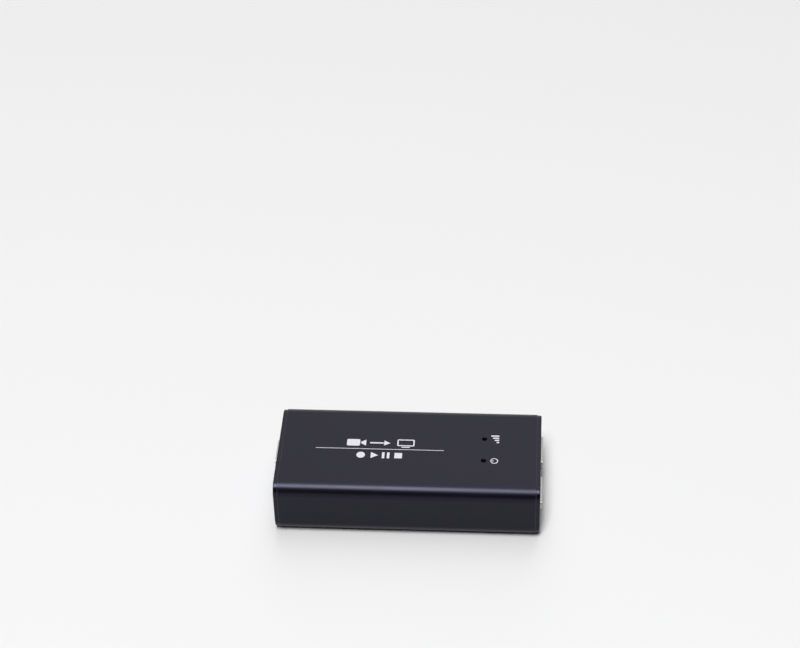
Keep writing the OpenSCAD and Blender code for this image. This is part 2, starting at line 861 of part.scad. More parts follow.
// Round cans on moulded bases with two cut corners
module electrolytic_capacitors() {
    base_h = 0.8;
    base_rim = 0.15;
    half = can_d / 2 + base_rim;
    cut = 1;
    color([0.7, 0.7, 0.72]) for (at = can_at) translate([at[0], at[1], board_top]) {
        linear_extrude(base_h) polygon([[-half, -half], [half - cut, -half], [half, cut - half],
            [half, half - cut], [half - cut, half], [-half, half]]);
        cylinder(d = can_d, h = can_h);
    }
}

// A row of small two-terminal parts, side by side along Y
module chip_part_row(at) {
    for (i = [0:row_count - 1]) on_board(at + [0, (i - (row_count - 1) / 2) * row_step], chip_part);
}

module ceramic_capacitors() {
    color([0.6, 0.5, 0.38]) for (at = chip_cap_rows) chip_part_row(at);
}

module resistors() {
    x = video_x - video_depth - resistor_back;
    color([0.12, 0.12, 0.12]) for (side = [-1, 1])
        chip_part_row([x, side * (video_pitch / 2 + resistor_out)]);
}

module surge_arrays() {
    x = video_x - video_depth - surge_back;
    color([0.1, 0.1, 0.1]) for (side = [-1, 1], pair = [-1, 1])
        on_board([x, side * video_pitch / 2 + pair * surge_pitch / 2], surge_size);
}

housing();
video_end_plate();
data_end_plate();
video_end_screws();
data_end_screws();
main_board();
insulating_film();
video_in_shell();
video_in_insulator();
video_in_contacts();
video_out_shell();
video_out_insulator();
video_out_contacts();
data_shell();
data_insulator();
data_contacts();
signal_lamp();
power_lamp();
signal_lamp_spacer();
power_lamp_spacer();
lamp_leads();
capture_processor();
thermal_tape();
heat_sink();
video_receiver();
video_splitter();
memory_chips();
flash_chip();
crystals();
inductors();
voltage_regulators();
electrolytic_capacitors();
ceramic_capacitors();
resistors();
surge_arrays();
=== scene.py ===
"""Looks of a video capture box: an anodised tube with screwed end plates, sockets at both ends and two lamps.

Run as a script in Blender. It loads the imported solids, models the pieces that show over them, gives every
piece its finish, and sets up the stage and the camera. Lengths are in metres, with MM for millimetres.
"""

import math
from contextlib import contextmanager

import bmesh
import bpy
from bpy.props import FloatProperty, FloatVectorProperty, IntProperty, PointerProperty
from bpy.types import Operator, Panel, PropertyGroup
from mathutils import Matrix, Vector


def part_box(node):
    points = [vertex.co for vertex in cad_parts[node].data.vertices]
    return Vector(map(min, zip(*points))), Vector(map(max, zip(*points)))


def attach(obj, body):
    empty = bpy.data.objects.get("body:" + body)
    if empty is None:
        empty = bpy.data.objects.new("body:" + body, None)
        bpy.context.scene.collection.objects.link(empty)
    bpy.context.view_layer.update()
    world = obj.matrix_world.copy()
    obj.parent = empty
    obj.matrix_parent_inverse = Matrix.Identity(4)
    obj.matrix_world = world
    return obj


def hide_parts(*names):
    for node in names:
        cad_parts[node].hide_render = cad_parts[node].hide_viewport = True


bl_info = {
    "name": "Video capture box",
    "version": (1, 0, 0),
    "blender": (4, 5, 0),
    "location": "View3D > Sidebar > Capture box",
    "description": "Models and finishes a video capture box over its packed solids",
    "category": "Object",
}

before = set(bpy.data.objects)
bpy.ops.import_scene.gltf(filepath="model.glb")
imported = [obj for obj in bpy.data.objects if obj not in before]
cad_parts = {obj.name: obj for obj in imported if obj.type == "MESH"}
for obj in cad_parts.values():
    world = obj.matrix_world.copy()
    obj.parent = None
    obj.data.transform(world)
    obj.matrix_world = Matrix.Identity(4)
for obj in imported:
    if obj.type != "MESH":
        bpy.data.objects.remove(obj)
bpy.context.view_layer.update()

MM = 0.001
TINY = 0.004 * MM
TUBE_LOW, TUBE_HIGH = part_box("housing")
VIDEO_PLATE_LOW, VIDEO_PLATE_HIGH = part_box("video_end_plate")
DATA_PLATE_LOW, DATA_PLATE_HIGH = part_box("data_end_plate")
BOARD_LOW, BOARD_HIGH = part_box("main_board")
TOP_Z = TUBE_HIGH.z


# Sizes and colours that a user would change


def length(label, what, millimetres):
    return FloatProperty(name=label, description=what, default=millimetres * MM, unit="LENGTH", precision=5)


def angle(label, what, degrees):
    return FloatProperty(name=label, description=what, default=math.radians(degrees), subtype="ANGLE")


def number(label, what, value, unit="NONE"):
    return FloatProperty(name=label, description=what, default=value, unit=unit)


def colour(label, what, rgb):
    return FloatVectorProperty(
        name=label, description=what, default=rgb, size=3, min=0, max=1, subtype="COLOR"
    )


class CaseSizes(PropertyGroup):
    """Sizes of the tube, its end plates and their screws."""

    corner_radius: length("Corner radius", "Outer radius of the tube's long edges", 5)
    wall: length("Wall", "Thickness of the tube's walls", 1.6)
    edge_break: length("Edge break", "Bevel on the cut ends of the tube", 0.15)
    plate_bevel: length("Plate bevel", "Bevel round the outer face of each end plate", 0.35)
    cutout_gap: length("Cut-out gap", "Gap between a socket and its cut-out", 0.25)
    cutout_break: length("Cut-out edge break", "Bevel on the edges of the holes in the plates", 0.08)
    channel: length("Screw channel", "Outer diameter of the screw channels", 5)
    channel_slit: length("Channel slit", "Width of the slit that opens each screw channel", 1.2)
    rail: length("Rail", "Thickness of the card rails", 1.2)
    rail_reach: length("Rail reach", "How far the rails stand in from the side walls", 1.6)
    slot: length("Card slot", "Height of the card slot between two rails", 1.9)
    lamp_hole: length("Lamp hole", "Diameter of the indicator holes in the top", 1.8)
    lamp_flare: length("Lamp hole flare", "Width of the bevel round each indicator hole", 0.15)
    screw: length("Screw", "Thread diameter of the end plate screws", 2.5)
    screw_head: length("Screw head", "Diameter of the countersunk heads", 4.7)
    head_rim: length("Head rim", "Height of the straight rim of a screw's head", 0.2)
    arc_steps: IntProperty(
        name="Arc steps", description="Facets along each round long edge", default=28, min=8, max=64
    )


class SocketSizes(PropertyGroup):
    """Sizes of the video sockets and the data socket."""

    sheet: length("Video shell sheet", "Thickness of a video socket's shell", 0.4)
    mouth_w: length("Video mouth width", "Width of a video socket's mouth", 14)
    mouth_h: length("Video mouth height", "Height of a video socket's mouth", 4.55)
    shoulder: length("Video shoulder", "Bevel of the mouth's two lower edges", 1.92)
    mouth_round: length("Mouth rounding", "Radius of the mouth's corners", 0.6)
    finger_w: length("Finger width", "Width of a sprung finger in a video shell", 1.4)
    finger_l: length("Finger length", "Length of a sprung finger", 4)
    finger_dip: length("Finger dip", "How far a finger bends into the mouth", 0.45)
    finger_slit: length("Finger slit", "Width of the slit round a finger", 0.35)
    finger_y: length("Finger offset", "Distance of a finger from the socket's middle", 2.8)
    finger_from_mouth: length("Finger root", "Distance of a finger's root from the mouth", 1.6)
    data_sheet: length("Data shell sheet", "Thickness of the data socket's shell", 0.3)
    data_bend: length("Data shell bend", "Outer radius of the bends of the data socket's shell", 0.7)
    moulding_round: length("Moulding rounding", "Radius on the edges of the mouldings", 0.15)
    data_mouth_w: length("Data mouth width", "Width of the data socket's lower mouth", 8.5)
    data_floor: length("Data floor", "Thickness of the moulding under the lower mouth", 0.9)
    data_roof: length("Data roof", "Thickness of the socket over the upper mouth", 0.8)
    data_shoulder: length("Data shoulder", "Bevel between the lower and the upper mouth", 1.3)
    data_back: length("Data mouth back", "Thickness of the moulding behind the mouth", 1.4)
    data_mouth_share: FloatProperty(
        name="Data mouth share", description="Share of the mouth's height that its lower part takes",
        default=0.757, min=0.6, max=0.85
    )


class PrintSizes(PropertyGroup):
    """Places and sizes of the white print on the top."""

    ink: length("Ink", "Thickness of the ink", 0.03)
    rule_from: length("Rule start", "Left end of the long rule", -35.6)
    rule_to: length("Rule end", "Right end of the long rule", 13.2)
    rule_y: length("Rule place", "Distance of the rule from the middle line", -1.0)
    rule_w: length("Rule width", "Width of the rule", 0.25)
    sign: length("Sign size", "Height of the signs by the rule", 4.4)
    lamp_sign: length("Lamp sign size", "Size of the signs by the lamps", 3.2)
    lamp_sign_from_hole: length("Lamp sign place", "Distance of those signs from the holes", 4)


class Finishes(PropertyGroup):
    """Colours of the finishes."""

    anodised: colour("Anodised", "Dyed oxide of the tube and plates", (0.0032, 0.0029, 0.0052))
    # Paler colour at the cut ends: partly worn bare metal, partly a painted glint
    worn_edge_and_glint: colour("Worn edge", "Paler metal along cut edges", (0.11, 0.105, 0.13))
    ink: colour("Ink", "White screen print", (0.78, 0.755, 0.85))
    black_oxide: colour("Black oxide", "Screws", (0.018, 0.018, 0.02))
    nickel: colour("Nickel", "Plated sheet of the socket shells", (0.52, 0.505, 0.485))
    gold: colour("Gold", "Flash on the contacts", (0.83, 0.6, 0.24))
    moulding_black: colour("Black moulding", "Insulators of the video sockets", (0.014, 0.014, 0.015))
    moulding_blue: colour("Blue moulding", "Insulator of the data socket", (0.012, 0.09, 0.42))
    solder_mask: colour("Solder mask", "Circuit board", (0.012, 0.11, 0.045))


class StageLook(PropertyGroup):
    """Floor, light and camera."""

    floor: colour("Floor", "Pale floor", (0.85, 0.85, 0.855))
    sky_back: number("Sky behind", "World strength behind the box", 1.43)
    sky_front: number("Sky in front", "World strength in front of it", 0.03)
    horizon: number("Horizon", "World strength all round, low down", 0.83)
    softbox_power: number("Softbox", "Power of the overhead softbox", 63, "POWER")
    softbox_width: length("Softbox width", "Width of the softbox, along the box", 660)
    softbox_length: length("Softbox length", "Length of the softbox, across the box", 1400)
    softbox_away: length("Softbox distance", "Distance of the softbox from the box", 3000)
    softbox_left: angle("Softbox to the left", "Lean of the softbox from overhead to the left", 5)
    softbox_lean: angle("Softbox to the front", "Lean of the softbox from overhead to the front", 21.5)
    lens_mm: number("Lens", "Focal length on a 36 mm sensor", 96.7)
    yaw: angle("Yaw", "Camera's turn to the right", 4.62)
    pitch: angle("Pitch", "Camera's look down", 39.8)
    roll: angle("Roll", "Camera's roll", -1.75)
    camera_place: FloatVectorProperty(
        name="Camera place", description="From the middle of the top face", size=3, subtype="XYZ",
        unit="LENGTH", default=(46.0 * MM, -595.1 * MM, 558.7 * MM)
    )


# Modelling helpers

# Way along each axis, and the turn that lays a cylinder along it
AXES = {
    "X": (Vector((1, 0, 0)), (0, math.pi / 2, 0)),
    "-X": (Vector((-1, 0, 0)), (0, -math.pi / 2, 0)),
    "Z": (Vector((0, 0, 1)), (0, 0, 0)),
}
SMOOTH_BELOW = math.radians(32)


def deselect():
    if bpy.context.mode != "OBJECT":
        bpy.ops.object.mode_set(mode="OBJECT")
    bpy.ops.object.select_all(action="DESELECT")


def activate(obj):
    deselect()
    obj.select_set(True)
    bpy.context.view_layer.objects.active = obj


def placed(name):
    """Names the new primitive or copy and puts its place and size into its mesh."""
    obj = bpy.context.object
    obj.name = obj.data.name = name
    bpy.ops.object.transform_apply(location=True, rotation=True, scale=True)
    return obj


def block(name, corner, opposite):
    """A block between two opposite corners, which can be in any order."""
    deselect()
    low = Vector([min(pair) for pair in zip(corner, opposite)])
    high = Vector([max(pair) for pair in zip(corner, opposite)])
    bpy.ops.mesh.primitive_cube_add(size=1, location=(low + high) / 2)
    bpy.context.object.scale = high - low
    return placed(name)


def rod(name, foot, height, radius, top_radius=None, axis="Z", sides=48):
    """A cylinder, or a cone with a top radius, that stands on foot along an axis."""
    deselect()
    way, turn = AXES[axis]
    bpy.ops.mesh.primitive_cone_add(
        vertices=sides, radius1=radius, radius2=radius if top_radius is None else top_radius,
        depth=height, location=Vector(foot) + way * height / 2, rotation=turn
    )
    return placed(name)


def headed_rod(name, foot, cone, radius, head, rim, shank, way=1):
    """A cone along X, with a straight rim on its wide end and a shank on its narrow one."""
    piece = rod(name, foot, cone, radius, head, axis="X" if way > 0 else "-X", sides=56)
    with editing(piece, "FACE"):
        pick_faces(piece, facing(0, way))
        extrude((way * rim, 0, 0))
        pick_faces(piece, facing(0, -way))
        extrude((-way * shank, 0, 0))
    return piece


@contextmanager
def editing(obj, kind):
    activate(obj)
    bpy.ops.object.mode_set(mode="EDIT")
    bpy.ops.mesh.select_mode(type=kind)
    bpy.ops.mesh.select_all(action="DESELECT")
    yield
    bpy.ops.object.mode_set(mode="OBJECT")


def pick(obj, kind, test):
    """Selects the faces, edges or points of a mesh in edit mode that pass the test, and no others."""
    bpy.ops.mesh.select_all(action="DESELECT")
    mesh = bmesh.from_edit_mesh(obj.data)
    for item in getattr(mesh, kind):
        if test(item):
            item.select_set(True)
    bmesh.update_edit_mesh(obj.data)


def pick_faces(obj, test):
    """Selects the faces whose middle and normal pass the test."""
    pick(obj, "faces", lambda face: test(face.calc_center_median(), face.normal))


def pick_edges(obj, test):
    """Selects the edges whose two ends pass the test."""
    pick(obj, "edges", lambda edge: test(edge.verts[0].co, edge.verts[1].co))


def pick_points(obj, test):
    """Selects the points whose place passes the test."""
    pick(obj, "verts", lambda point: test(point.co))


def keep_edges(obj, test):
    """Leaves selected only the edges beside a face whose normal passes the test."""
    mesh = bmesh.from_edit_mesh(obj.data)
    for edge in mesh.edges:
        if edge.select and not any(test(face.normal) for face in edge.link_faces):
            edge.select_set(False)
    bmesh.update_edit_mesh(obj.data)


def facing(axis, way=1, place=None):
    """Test for faces that look one way along an axis, and lie at a place on it if one is given."""
    def test(middle, normal):
        return way * normal[axis] > 0.99 and (place is None or abs(middle[axis] - place) < TINY)
    return test


def runs_along(axis, height=None):
    """Test for edges that run along an axis, and lie at a height if one is given."""
    def test(a, b):
        way = b - a
        return abs(way[axis]) > 0.999 * way.length and (height is None or abs(a.z - height) < TINY)
    return test


def lies_at(axis, place):
    """Test for edges with both ends at one place on an axis."""
    return lambda a, b: max(abs(a[axis] - place), abs(b[axis] - place)) < TINY


def bevel(width, steps):
    bpy.ops.mesh.bevel(offset=width, offset_type="OFFSET", segments=steps, profile=0.5, affect="EDGES",
                       clamp_overlap=True)


def extrude(move):
    bpy.ops.mesh.extrude_region_move(TRANSFORM_OT_translate={"value": move})


def round_edges(obj, width, steps, test=None):
    """Bevels the edges that pass a test, or all edges."""
    with editing(obj, "EDGE"):
        pick_edges(obj, test or (lambda a, b: True))
        bevel(width, steps)


def round_rim(obj, width, steps, test, keep=None):
    """Bevels the outline of the faces that pass a test, or its edges beside faces to keep."""
    with editing(obj, "FACE"):
        pick_faces(obj, test)
        bpy.ops.mesh.region_to_loop()
        if keep:
            keep_edges(obj, keep)
        bevel(width, steps)


def apply(obj, kind, **settings):
    activate(obj)
    modifier = obj.modifiers.new(kind.lower(), kind)
    for name, value in settings.items():
        setattr(modifier, name, value)
    bpy.ops.object.modifier_apply(modifier=modifier.name)


def remove(*objects):
    for obj in objects:
        bpy.data.objects.remove(obj, do_unlink=True)


def carve(obj, *tools, how="DIFFERENCE"):
    """Cuts the tools out of a piece, or joins them to it, and removes them."""
    for tool in tools:
        apply(obj, "BOOLEAN", operation=how, object=tool, solver="EXACT")
        remove(tool)
    return obj


def join(name, pieces):
    """Makes several pieces one object."""
    activate(pieces[0])
    for piece in pieces[1:]:
        piece.select_set(True)
    if len(pieces) > 1:
        bpy.ops.object.join()
    pieces[0].name = pieces[0].data.name = name
    return pieces[0]


def copy_moved(obj, move, name):
    """A copy with its own mesh, moved, with the move in its mesh."""
    activate(obj)
    bpy.ops.object.duplicate(linked=False)
    bpy.context.object.location = Vector(move)
    return placed(name)


def scale_mesh(obj, x, y, z):
    activate(obj)
    obj.scale = (x, y, z)
    bpy.ops.object.transform_apply(location=False, rotation=False, scale=True)


def mirror_x(obj):
    """Turns a piece round to the other end, normals outward."""
    scale_mesh(obj, -1, 1, 1)
    with editing(obj, "FACE"):
        bpy.ops.mesh.select_all(action="SELECT")
        bpy.ops.mesh.normals_make_consistent(inside=False)


def finish(obj, material, nodes=()):
    """Shades a piece, gives it its material and ties it to the frame."""
    activate(obj)
    bpy.ops.object.shade_smooth_by_angle(angle=SMOOTH_BELOW)
    # Faces of a fraction of a square millimetre only count among the weights in a mesh of millimetres
    scale_mesh(obj, 1 / MM, 1 / MM, 1 / MM)
    apply(obj, "WEIGHTED_NORMAL", keep_sharp=True, weight=80)
    scale_mesh(obj, MM, MM, MM)
    obj.data.materials.clear()
    obj.data.materials.append(material)
    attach(obj, "root")
    if nodes:
        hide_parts(*nodes)


def dress(node, material):
    """Gives a solid that shows as it is its finish."""
    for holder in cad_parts[node].material_slots:
        holder.material = material


# Shader maths


class Wire:
    """An output socket that can be used in sums, each of which adds a Math node."""

    def __init__(self, graph, socket):
        self.graph, self.socket = graph, socket

    def maths(self, operation, *values, **settings):
        return self.graph.node("ShaderNodeMath", dict(settings, operation=operation), dict(enumerate(values)))

    def __add__(self, other):
        return self.maths("ADD", self, other)

    def __sub__(self, other):
        return self.maths("SUBTRACT", self, other)

    def __rsub__(self, other):
        return self.maths("SUBTRACT", other, self)

    def __mul__(self, other):
        return self.maths("MULTIPLY", self, other)

    def __abs__(self):
        return self.maths("ABSOLUTE", self)

    def clamped(self):
        return self.maths("ADD", self, 0.0, use_clamp=True)

    __radd__ = __add__
    __rmul__ = __mul__


class Graph:
    """A node tree, whose nodes all come from one method."""

    def __init__(self, tree):
        self.tree = tree

    def feed(self, socket, value):
        if isinstance(value, Wire):
            self.tree.links.new(value.socket, socket)
        elif hasattr(socket.default_value, "__len__") and len(socket.default_value) == 4 and len(value) == 3:
            socket.default_value = (*value, 1)
        else:
            socket.default_value = value

    def node(self, kind, settings=None, inputs=None, out=0):
        """Adds a node, sets it first and then feeds its sockets."""
        made = self.tree.nodes.new(kind)
        for name, value in (settings or {}).items():
            setattr(made, name, value)
        for name, value in (inputs or {}).items():
            self.feed(made.inputs[name], value)
        return Wire(self, made.outputs[out])

    def axis(self, vector, name):
        return self.node("ShaderNodeSeparateXYZ", None, {0: vector}, out=name)

    def ease(self, value, span, levels):
        """Takes a value from one level to another, smoothly, over a span."""
        names = ("From Min", "From Max", "To Min", "To Max")
        return self.node("ShaderNodeMapRange", {"interpolation_type": "SMOOTHSTEP"},
                         {"Value": value, **dict(zip(names, (*span, *levels)))})


class Paint(Graph):
    """One material: a Principled shader and the nodes that feed it."""

    def __init__(self, name, **constants):
        self.material = bpy.data.materials.new(name)
        self.material.use_nodes = True
        super().__init__(self.material.node_tree)
        self.shader = self.tree.nodes["Principled BSDF"]
        self.place = self.node("ShaderNodeTexCoord", out="Object")
        self.set(**constants)

    def set(self, **inputs):
        """Feeds the shader's sockets, named with underscores for spaces."""
        for name, value in inputs.items():
            self.feed(self.shader.inputs[name.replace("_", " ")], value)

    def noise(self, size, detail, stretch=(1, 1, 1)):
        """Noise from 0 to 1 with features of about one size, stretched along the axes."""
        scale = [1 / times for times in stretch]
        place = self.node("ShaderNodeMapping", None, {"Vector": self.place, "Scale": scale})
        return self.node("ShaderNodeTexNoise", None, {"Vector": place, "Scale": 1 / size, "Detail": detail})

    def mix(self, first, second, share):
        return self.node("ShaderNodeMix", {"data_type": "RGBA"}, {0: share, 6: first, 7: second}, out=2)

    def span(self, value, low, high):
        """Maps low..high to 0..1, clamped."""
        return ((value - low) * (1 / (high - low))).clamped()

    def bump(self, height, depth, strength):
        inputs = {"Height": height, "Distance": depth, "Strength": strength}
        self.set(Normal=self.node("ShaderNodeBump", None, inputs))


def shade(rgb, factor):
    return [min(1, c * factor) for c in rgb]


def anodised_finish(name, rgb, worn_and_glint, half_length=None, roughness=0.24):
    """Matt blasted aluminium, dyed and sealed, paler at its cut ends: worn bare metal and a painted glint."""
    paint = Paint(name, IOR=1.38, Specular_Tint=(0.72, 0.7, 1.0))
    grain = paint.noise(0.09 * MM, 3)
    cloud = paint.noise(9 * MM, 3)
    drawn = paint.noise(0.5 * MM, 2, stretch=(60, 1, 1))
    tone = paint.mix(shade(rgb, 0.82), shade(rgb, 1.2), cloud)
    if half_length:
        # The cut ends are painted paler: partly worn bare metal, partly a painted glint where the edge
        # catches the light
        edge = paint.span(abs(paint.axis(paint.place, "X")), half_length - 0.22 * MM, half_length - 0.05 * MM)
        tone = paint.mix(tone, worn_and_glint, edge * (0.35 + 0.5 * grain))
    paint.set(Base_Color=tone, Roughness=roughness + 0.06 * cloud + 0.05 * drawn + 0.05 * grain)
    paint.bump(grain + 0.25 * drawn, 0.004 * MM, 0.4)
    return paint.material


def varied_finish(name, rgb, tones, cloud, roughness, grain=None, relief=None, **constants):
    """A finish whose colour varies between two tones with one noise, and whose roughness and relief vary
    with a finer one, or with the same one. Each noise is given by its size and detail."""
    paint = Paint(name, **constants)
    cloud = paint.noise(*cloud)
    grain = paint.noise(*grain) if grain else cloud
    paint.set(Base_Color=paint.mix(shade(rgb, tones[0]), shade(rgb, tones[1]), cloud))
    paint.set(Roughness=roughness[0] + roughness[1] * grain)
    if relief:
        paint.bump(grain, *relief)
    return paint.material


def ink_finish(rgb):
    """Screen-printed ink, a little uneven."""
    return varied_finish("white_ink", rgb, (0.9, 1), (0.12 * MM, 3), (0.5, 0.15),
                         relief=(0.004 * MM, 0.5), IOR=1.45)


def metal_finish(name, rgb, roughness):
    """Plated sheet or wire with fine rolling marks along X."""
    paint = Paint(name, Metallic=1.0)
    mark_width, mark_length = 0.06 * MM, 0.5 * MM
    marks = paint.noise(mark_width, 2, stretch=(mark_length / mark_width, 1, 1))
    stain = paint.noise(2.5 * MM, 3)
    paint.set(Base_Color=paint.mix(shade(rgb, 0.86), rgb, stain))
    paint.set(Roughness=roughness + 0.12 * marks + 0.06 * stain)
    paint.bump(marks, 0.002 * MM, 0.4)
    return paint.material


def moulding_finish(name, rgb, roughness=0.42):
    """Moulded plastic with a fine eroded texture."""
    return varied_finish(name, rgb, (0.85, 1.15), (3 * MM, 2), (roughness, 0.12),
                         grain=(0.08 * MM, 3), relief=(0.003 * MM, 0.5), IOR=1.5)


def oxide_finish(rgb):
    """Black oxide on steel, rubbed paler in small patches."""
    return varied_finish("black_oxide", rgb, (1, 2.2), (0.4 * MM, 4), (0.34, 0.16),
                         grain=(0.05 * MM, 2), relief=(0.002 * MM, 0.4), Metallic=0.35, IOR=1.6)


def board_finish(rgb):
    """Solder mask over copper tracks on glass laminate."""
    paint = Paint("solder_mask", IOR=1.5)
    weave = paint.noise(0.3 * MM, 2)
    cells = paint.node("ShaderNodeTexVoronoi", {"feature": "F1", "distance": "CHEBYCHEV"},
                       {"Vector": paint.place, "Scale": 1 / (2.4 * MM)}, out="Distance")
    track = paint.span(abs(cells - 0.42), 0.07, 0.04)
    paint.set(Base_Color=paint.mix(rgb, shade(rgb, 1.7), track), Roughness=0.28 + 0.15 * weave)
    paint.bump(track + 0.2 * weave, 0.02 * MM, 0.6)
    return paint.material


def lens_finish(name, rgb):
    """Water-clear epoxy of a lamp, with flow streaks."""
    return varied_finish(name, rgb, (0.9, 1), (0.6 * MM, 2), (0.06, 0.08),
                         IOR=1.52, Transmission_Weight=0.75)


def film_finish(rgb):
    """Milky polyester film."""
    return varied_finish("polyester_film", rgb, (0.88, 1), (4 * MM, 3), (0.2, 0.2), IOR=1.6)


# Pieces


def screw_places():
    """Y and Z of the four screws of an end, from the screws' own box."""
    low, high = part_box("video_end_screws")
    radius = bpy.context.scene.capture_case.screw_head / 2
    return [(y, z) for y in (low.y + radius, high.y - radius) for z in (low.z + radius, high.z - radius)]


def lamp_places():
    places = []
    for node in ("signal_lamp", "power_lamp"):
        low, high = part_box(node)
        places.append((low + high) / 2)
    return places


class CAPTURE_OT_tube(Operator):
    """Extruded tube with round long edges, card rails, screw channels and two lamp holes"""

    bl_idname = "capture.tube"
    bl_label = "Tube"

    THREAD_GAP = 0.05 * MM

    def execute(self, context):
        case = context.scene.capture_case
        look = context.scene.capture_finishes
        tube = block("tube", TUBE_LOW, TUBE_HIGH)
        round_edges(tube, case.corner_radius, case.arc_steps, runs_along(0))
        round_rim(tube, case.edge_break, 2, self.on_an_end)
        with editing(tube, "FACE"):
            pick_faces(tube, self.on_an_end)
            bpy.ops.mesh.inset(thickness=case.wall - case.edge_break, use_even_offset=True)
            bpy.ops.mesh.bridge_edge_loops()
        carve(tube, *self.rails(case), *self.channels(case), how="UNION")
        radius, flare = case.lamp_hole / 2, case.lamp_flare
        for place in lamp_places():
            foot = (place.x, place.y, TOP_Z - 2 * case.wall)
            flare_foot = (place.x, place.y, TOP_Z - flare)
            carve(tube, rod("hole", foot, 3 * case.wall, radius),
                  rod("flare", flare_foot, 2 * flare, radius, radius + 2 * flare))
        finish(tube, anodised_finish("anodised_tube", look.anodised, look.worn_edge_and_glint, TUBE_HIGH.x),
               ["housing"])
        return {"FINISHED"}

    def on_an_end(self, middle, normal):
        return abs(normal.x) > 0.99

    def rails(self, case):
        inner = TUBE_HIGH.y - case.wall
        x0, x1 = TUBE_LOW.x + case.edge_break, TUBE_HIGH.x - case.edge_break
        pieces = []
        for side in (-1, 1):
            y0, y1 = side * (inner - case.rail_reach), side * (inner + case.wall / 2)
            for z in (BOARD_LOW.z - case.rail, BOARD_LOW.z + case.slot):
                pieces.append(block("rail", (x0, y0, z), (x1, y1, z + case.rail)))
        return pieces

    def channels(self, case):
        run = TUBE_HIGH.x - TUBE_LOW.x - 2 * case.edge_break
        past = Vector((MM, 0, 0))
        middle_z = (TUBE_LOW.z + TUBE_HIGH.z) / 2
        pieces = []
        for y, z in screw_places():
            foot = Vector((TUBE_LOW.x + case.edge_break, y, z))
            channel = rod("channel", foot, run, case.channel / 2, axis="X")
            bore = rod("bore", foot - past, run + 2 * MM, case.screw / 2 + self.THREAD_GAP, axis="X")
            # The slit opens the channel towards the middle of the tube
            inward = Vector((0, math.copysign(1, -y), math.copysign(1, middle_z - z))).normalized()
            deselect()
            bpy.ops.mesh.primitive_cube_add(
                size=1, location=foot + Vector((run / 2, 0, 0)) + inward * case.channel / 2,
                rotation=(math.atan2(inward.z, inward.y), 0, 0)
            )
            bpy.context.object.scale = (run + 2 * MM, case.channel, case.channel_slit)
            pieces.append(carve(channel, bore, placed("slit")))
        return pieces


class CAPTURE_OT_end_plates(Operator):
    """End plates with bevelled rims, countersunk holes and socket cut-outs"""

    bl_idname = "capture.end_plates"
    bl_label = "End plates"

    DATA_CORNER = 0.5 * MM
    SINK_GAP = 0.15 * MM
    SINK_DEEPER = 0.05 * MM
    SINK_THROUGH = 3 * MM

    def execute(self, context):
        case = context.scene.capture_case
        socket = context.scene.capture_sockets
        look = context.scene.capture_finishes
        anodised = anodised_finish("anodised_plate", shade(look.anodised, 0.9), look.worn_edge_and_glint,
                                   VIDEO_PLATE_HIGH.x, roughness=0.17)
        openings = {
            1: [mouth_prism("cutout", node, VIDEO_PLATE_LOW.x - MM, VIDEO_PLATE_HIGH.x + MM,
                            socket.sheet + case.cutout_gap, socket)
                for node in ("video_in_shell", "video_out_shell")],
            -1: [self.data_cutout(case)],
        }
        for end, node, low, high in (
            (1, "video_end_plate", VIDEO_PLATE_LOW, VIDEO_PLATE_HIGH),
            (-1, "data_end_plate", DATA_PLATE_LOW, DATA_PLATE_HIGH),
        ):
            plate = block(node.replace("_end", ""), low, high)
            inset = TUBE_HIGH.y - high.y
            face_x = high.x if end > 0 else low.x
            round_edges(plate, case.corner_radius - inset, case.arc_steps, runs_along(0))
            round_rim(plate, case.plate_bevel, 3, facing(0, end))
            carve(plate, *openings[end], *self.countersinks(case, end, face_x))
            # Only the walls of the holes stand square to the face, so only their edges are broken
            round_rim(plate, case.cutout_break, 1, facing(0, end, face_x),
                      keep=lambda normal: abs(normal.x) < 0.01)
            finish(plate, anodised, [node])
        return {"FINISHED"}

    def data_cutout(self, case):
        low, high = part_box("data_shell")
        gap = Vector((0, case.cutout_gap, case.cutout_gap))
        opening = block("cutout", Vector((DATA_PLATE_LOW.x - MM, low.y, BOARD_HIGH.z)) - gap,
                        Vector((DATA_PLATE_HIGH.x + MM, high.y, high.z)) + gap)
        round_edges(opening, self.DATA_CORNER, 4, runs_along(0))
        return opening

    def countersinks(self, case, end, face_x):
        cone = (case.screw_head - case.screw) / 2
        foot_x = face_x - end * (case.head_rim + self.SINK_DEEPER + cone)
        radius, head = case.screw / 2 + self.SINK_GAP, case.screw_head / 2 + self.SINK_GAP
        return [headed_rod("sink", (foot_x, y, z), cone, radius, head, MM, self.SINK_THROUGH, end)
                for y, z in screw_places()]


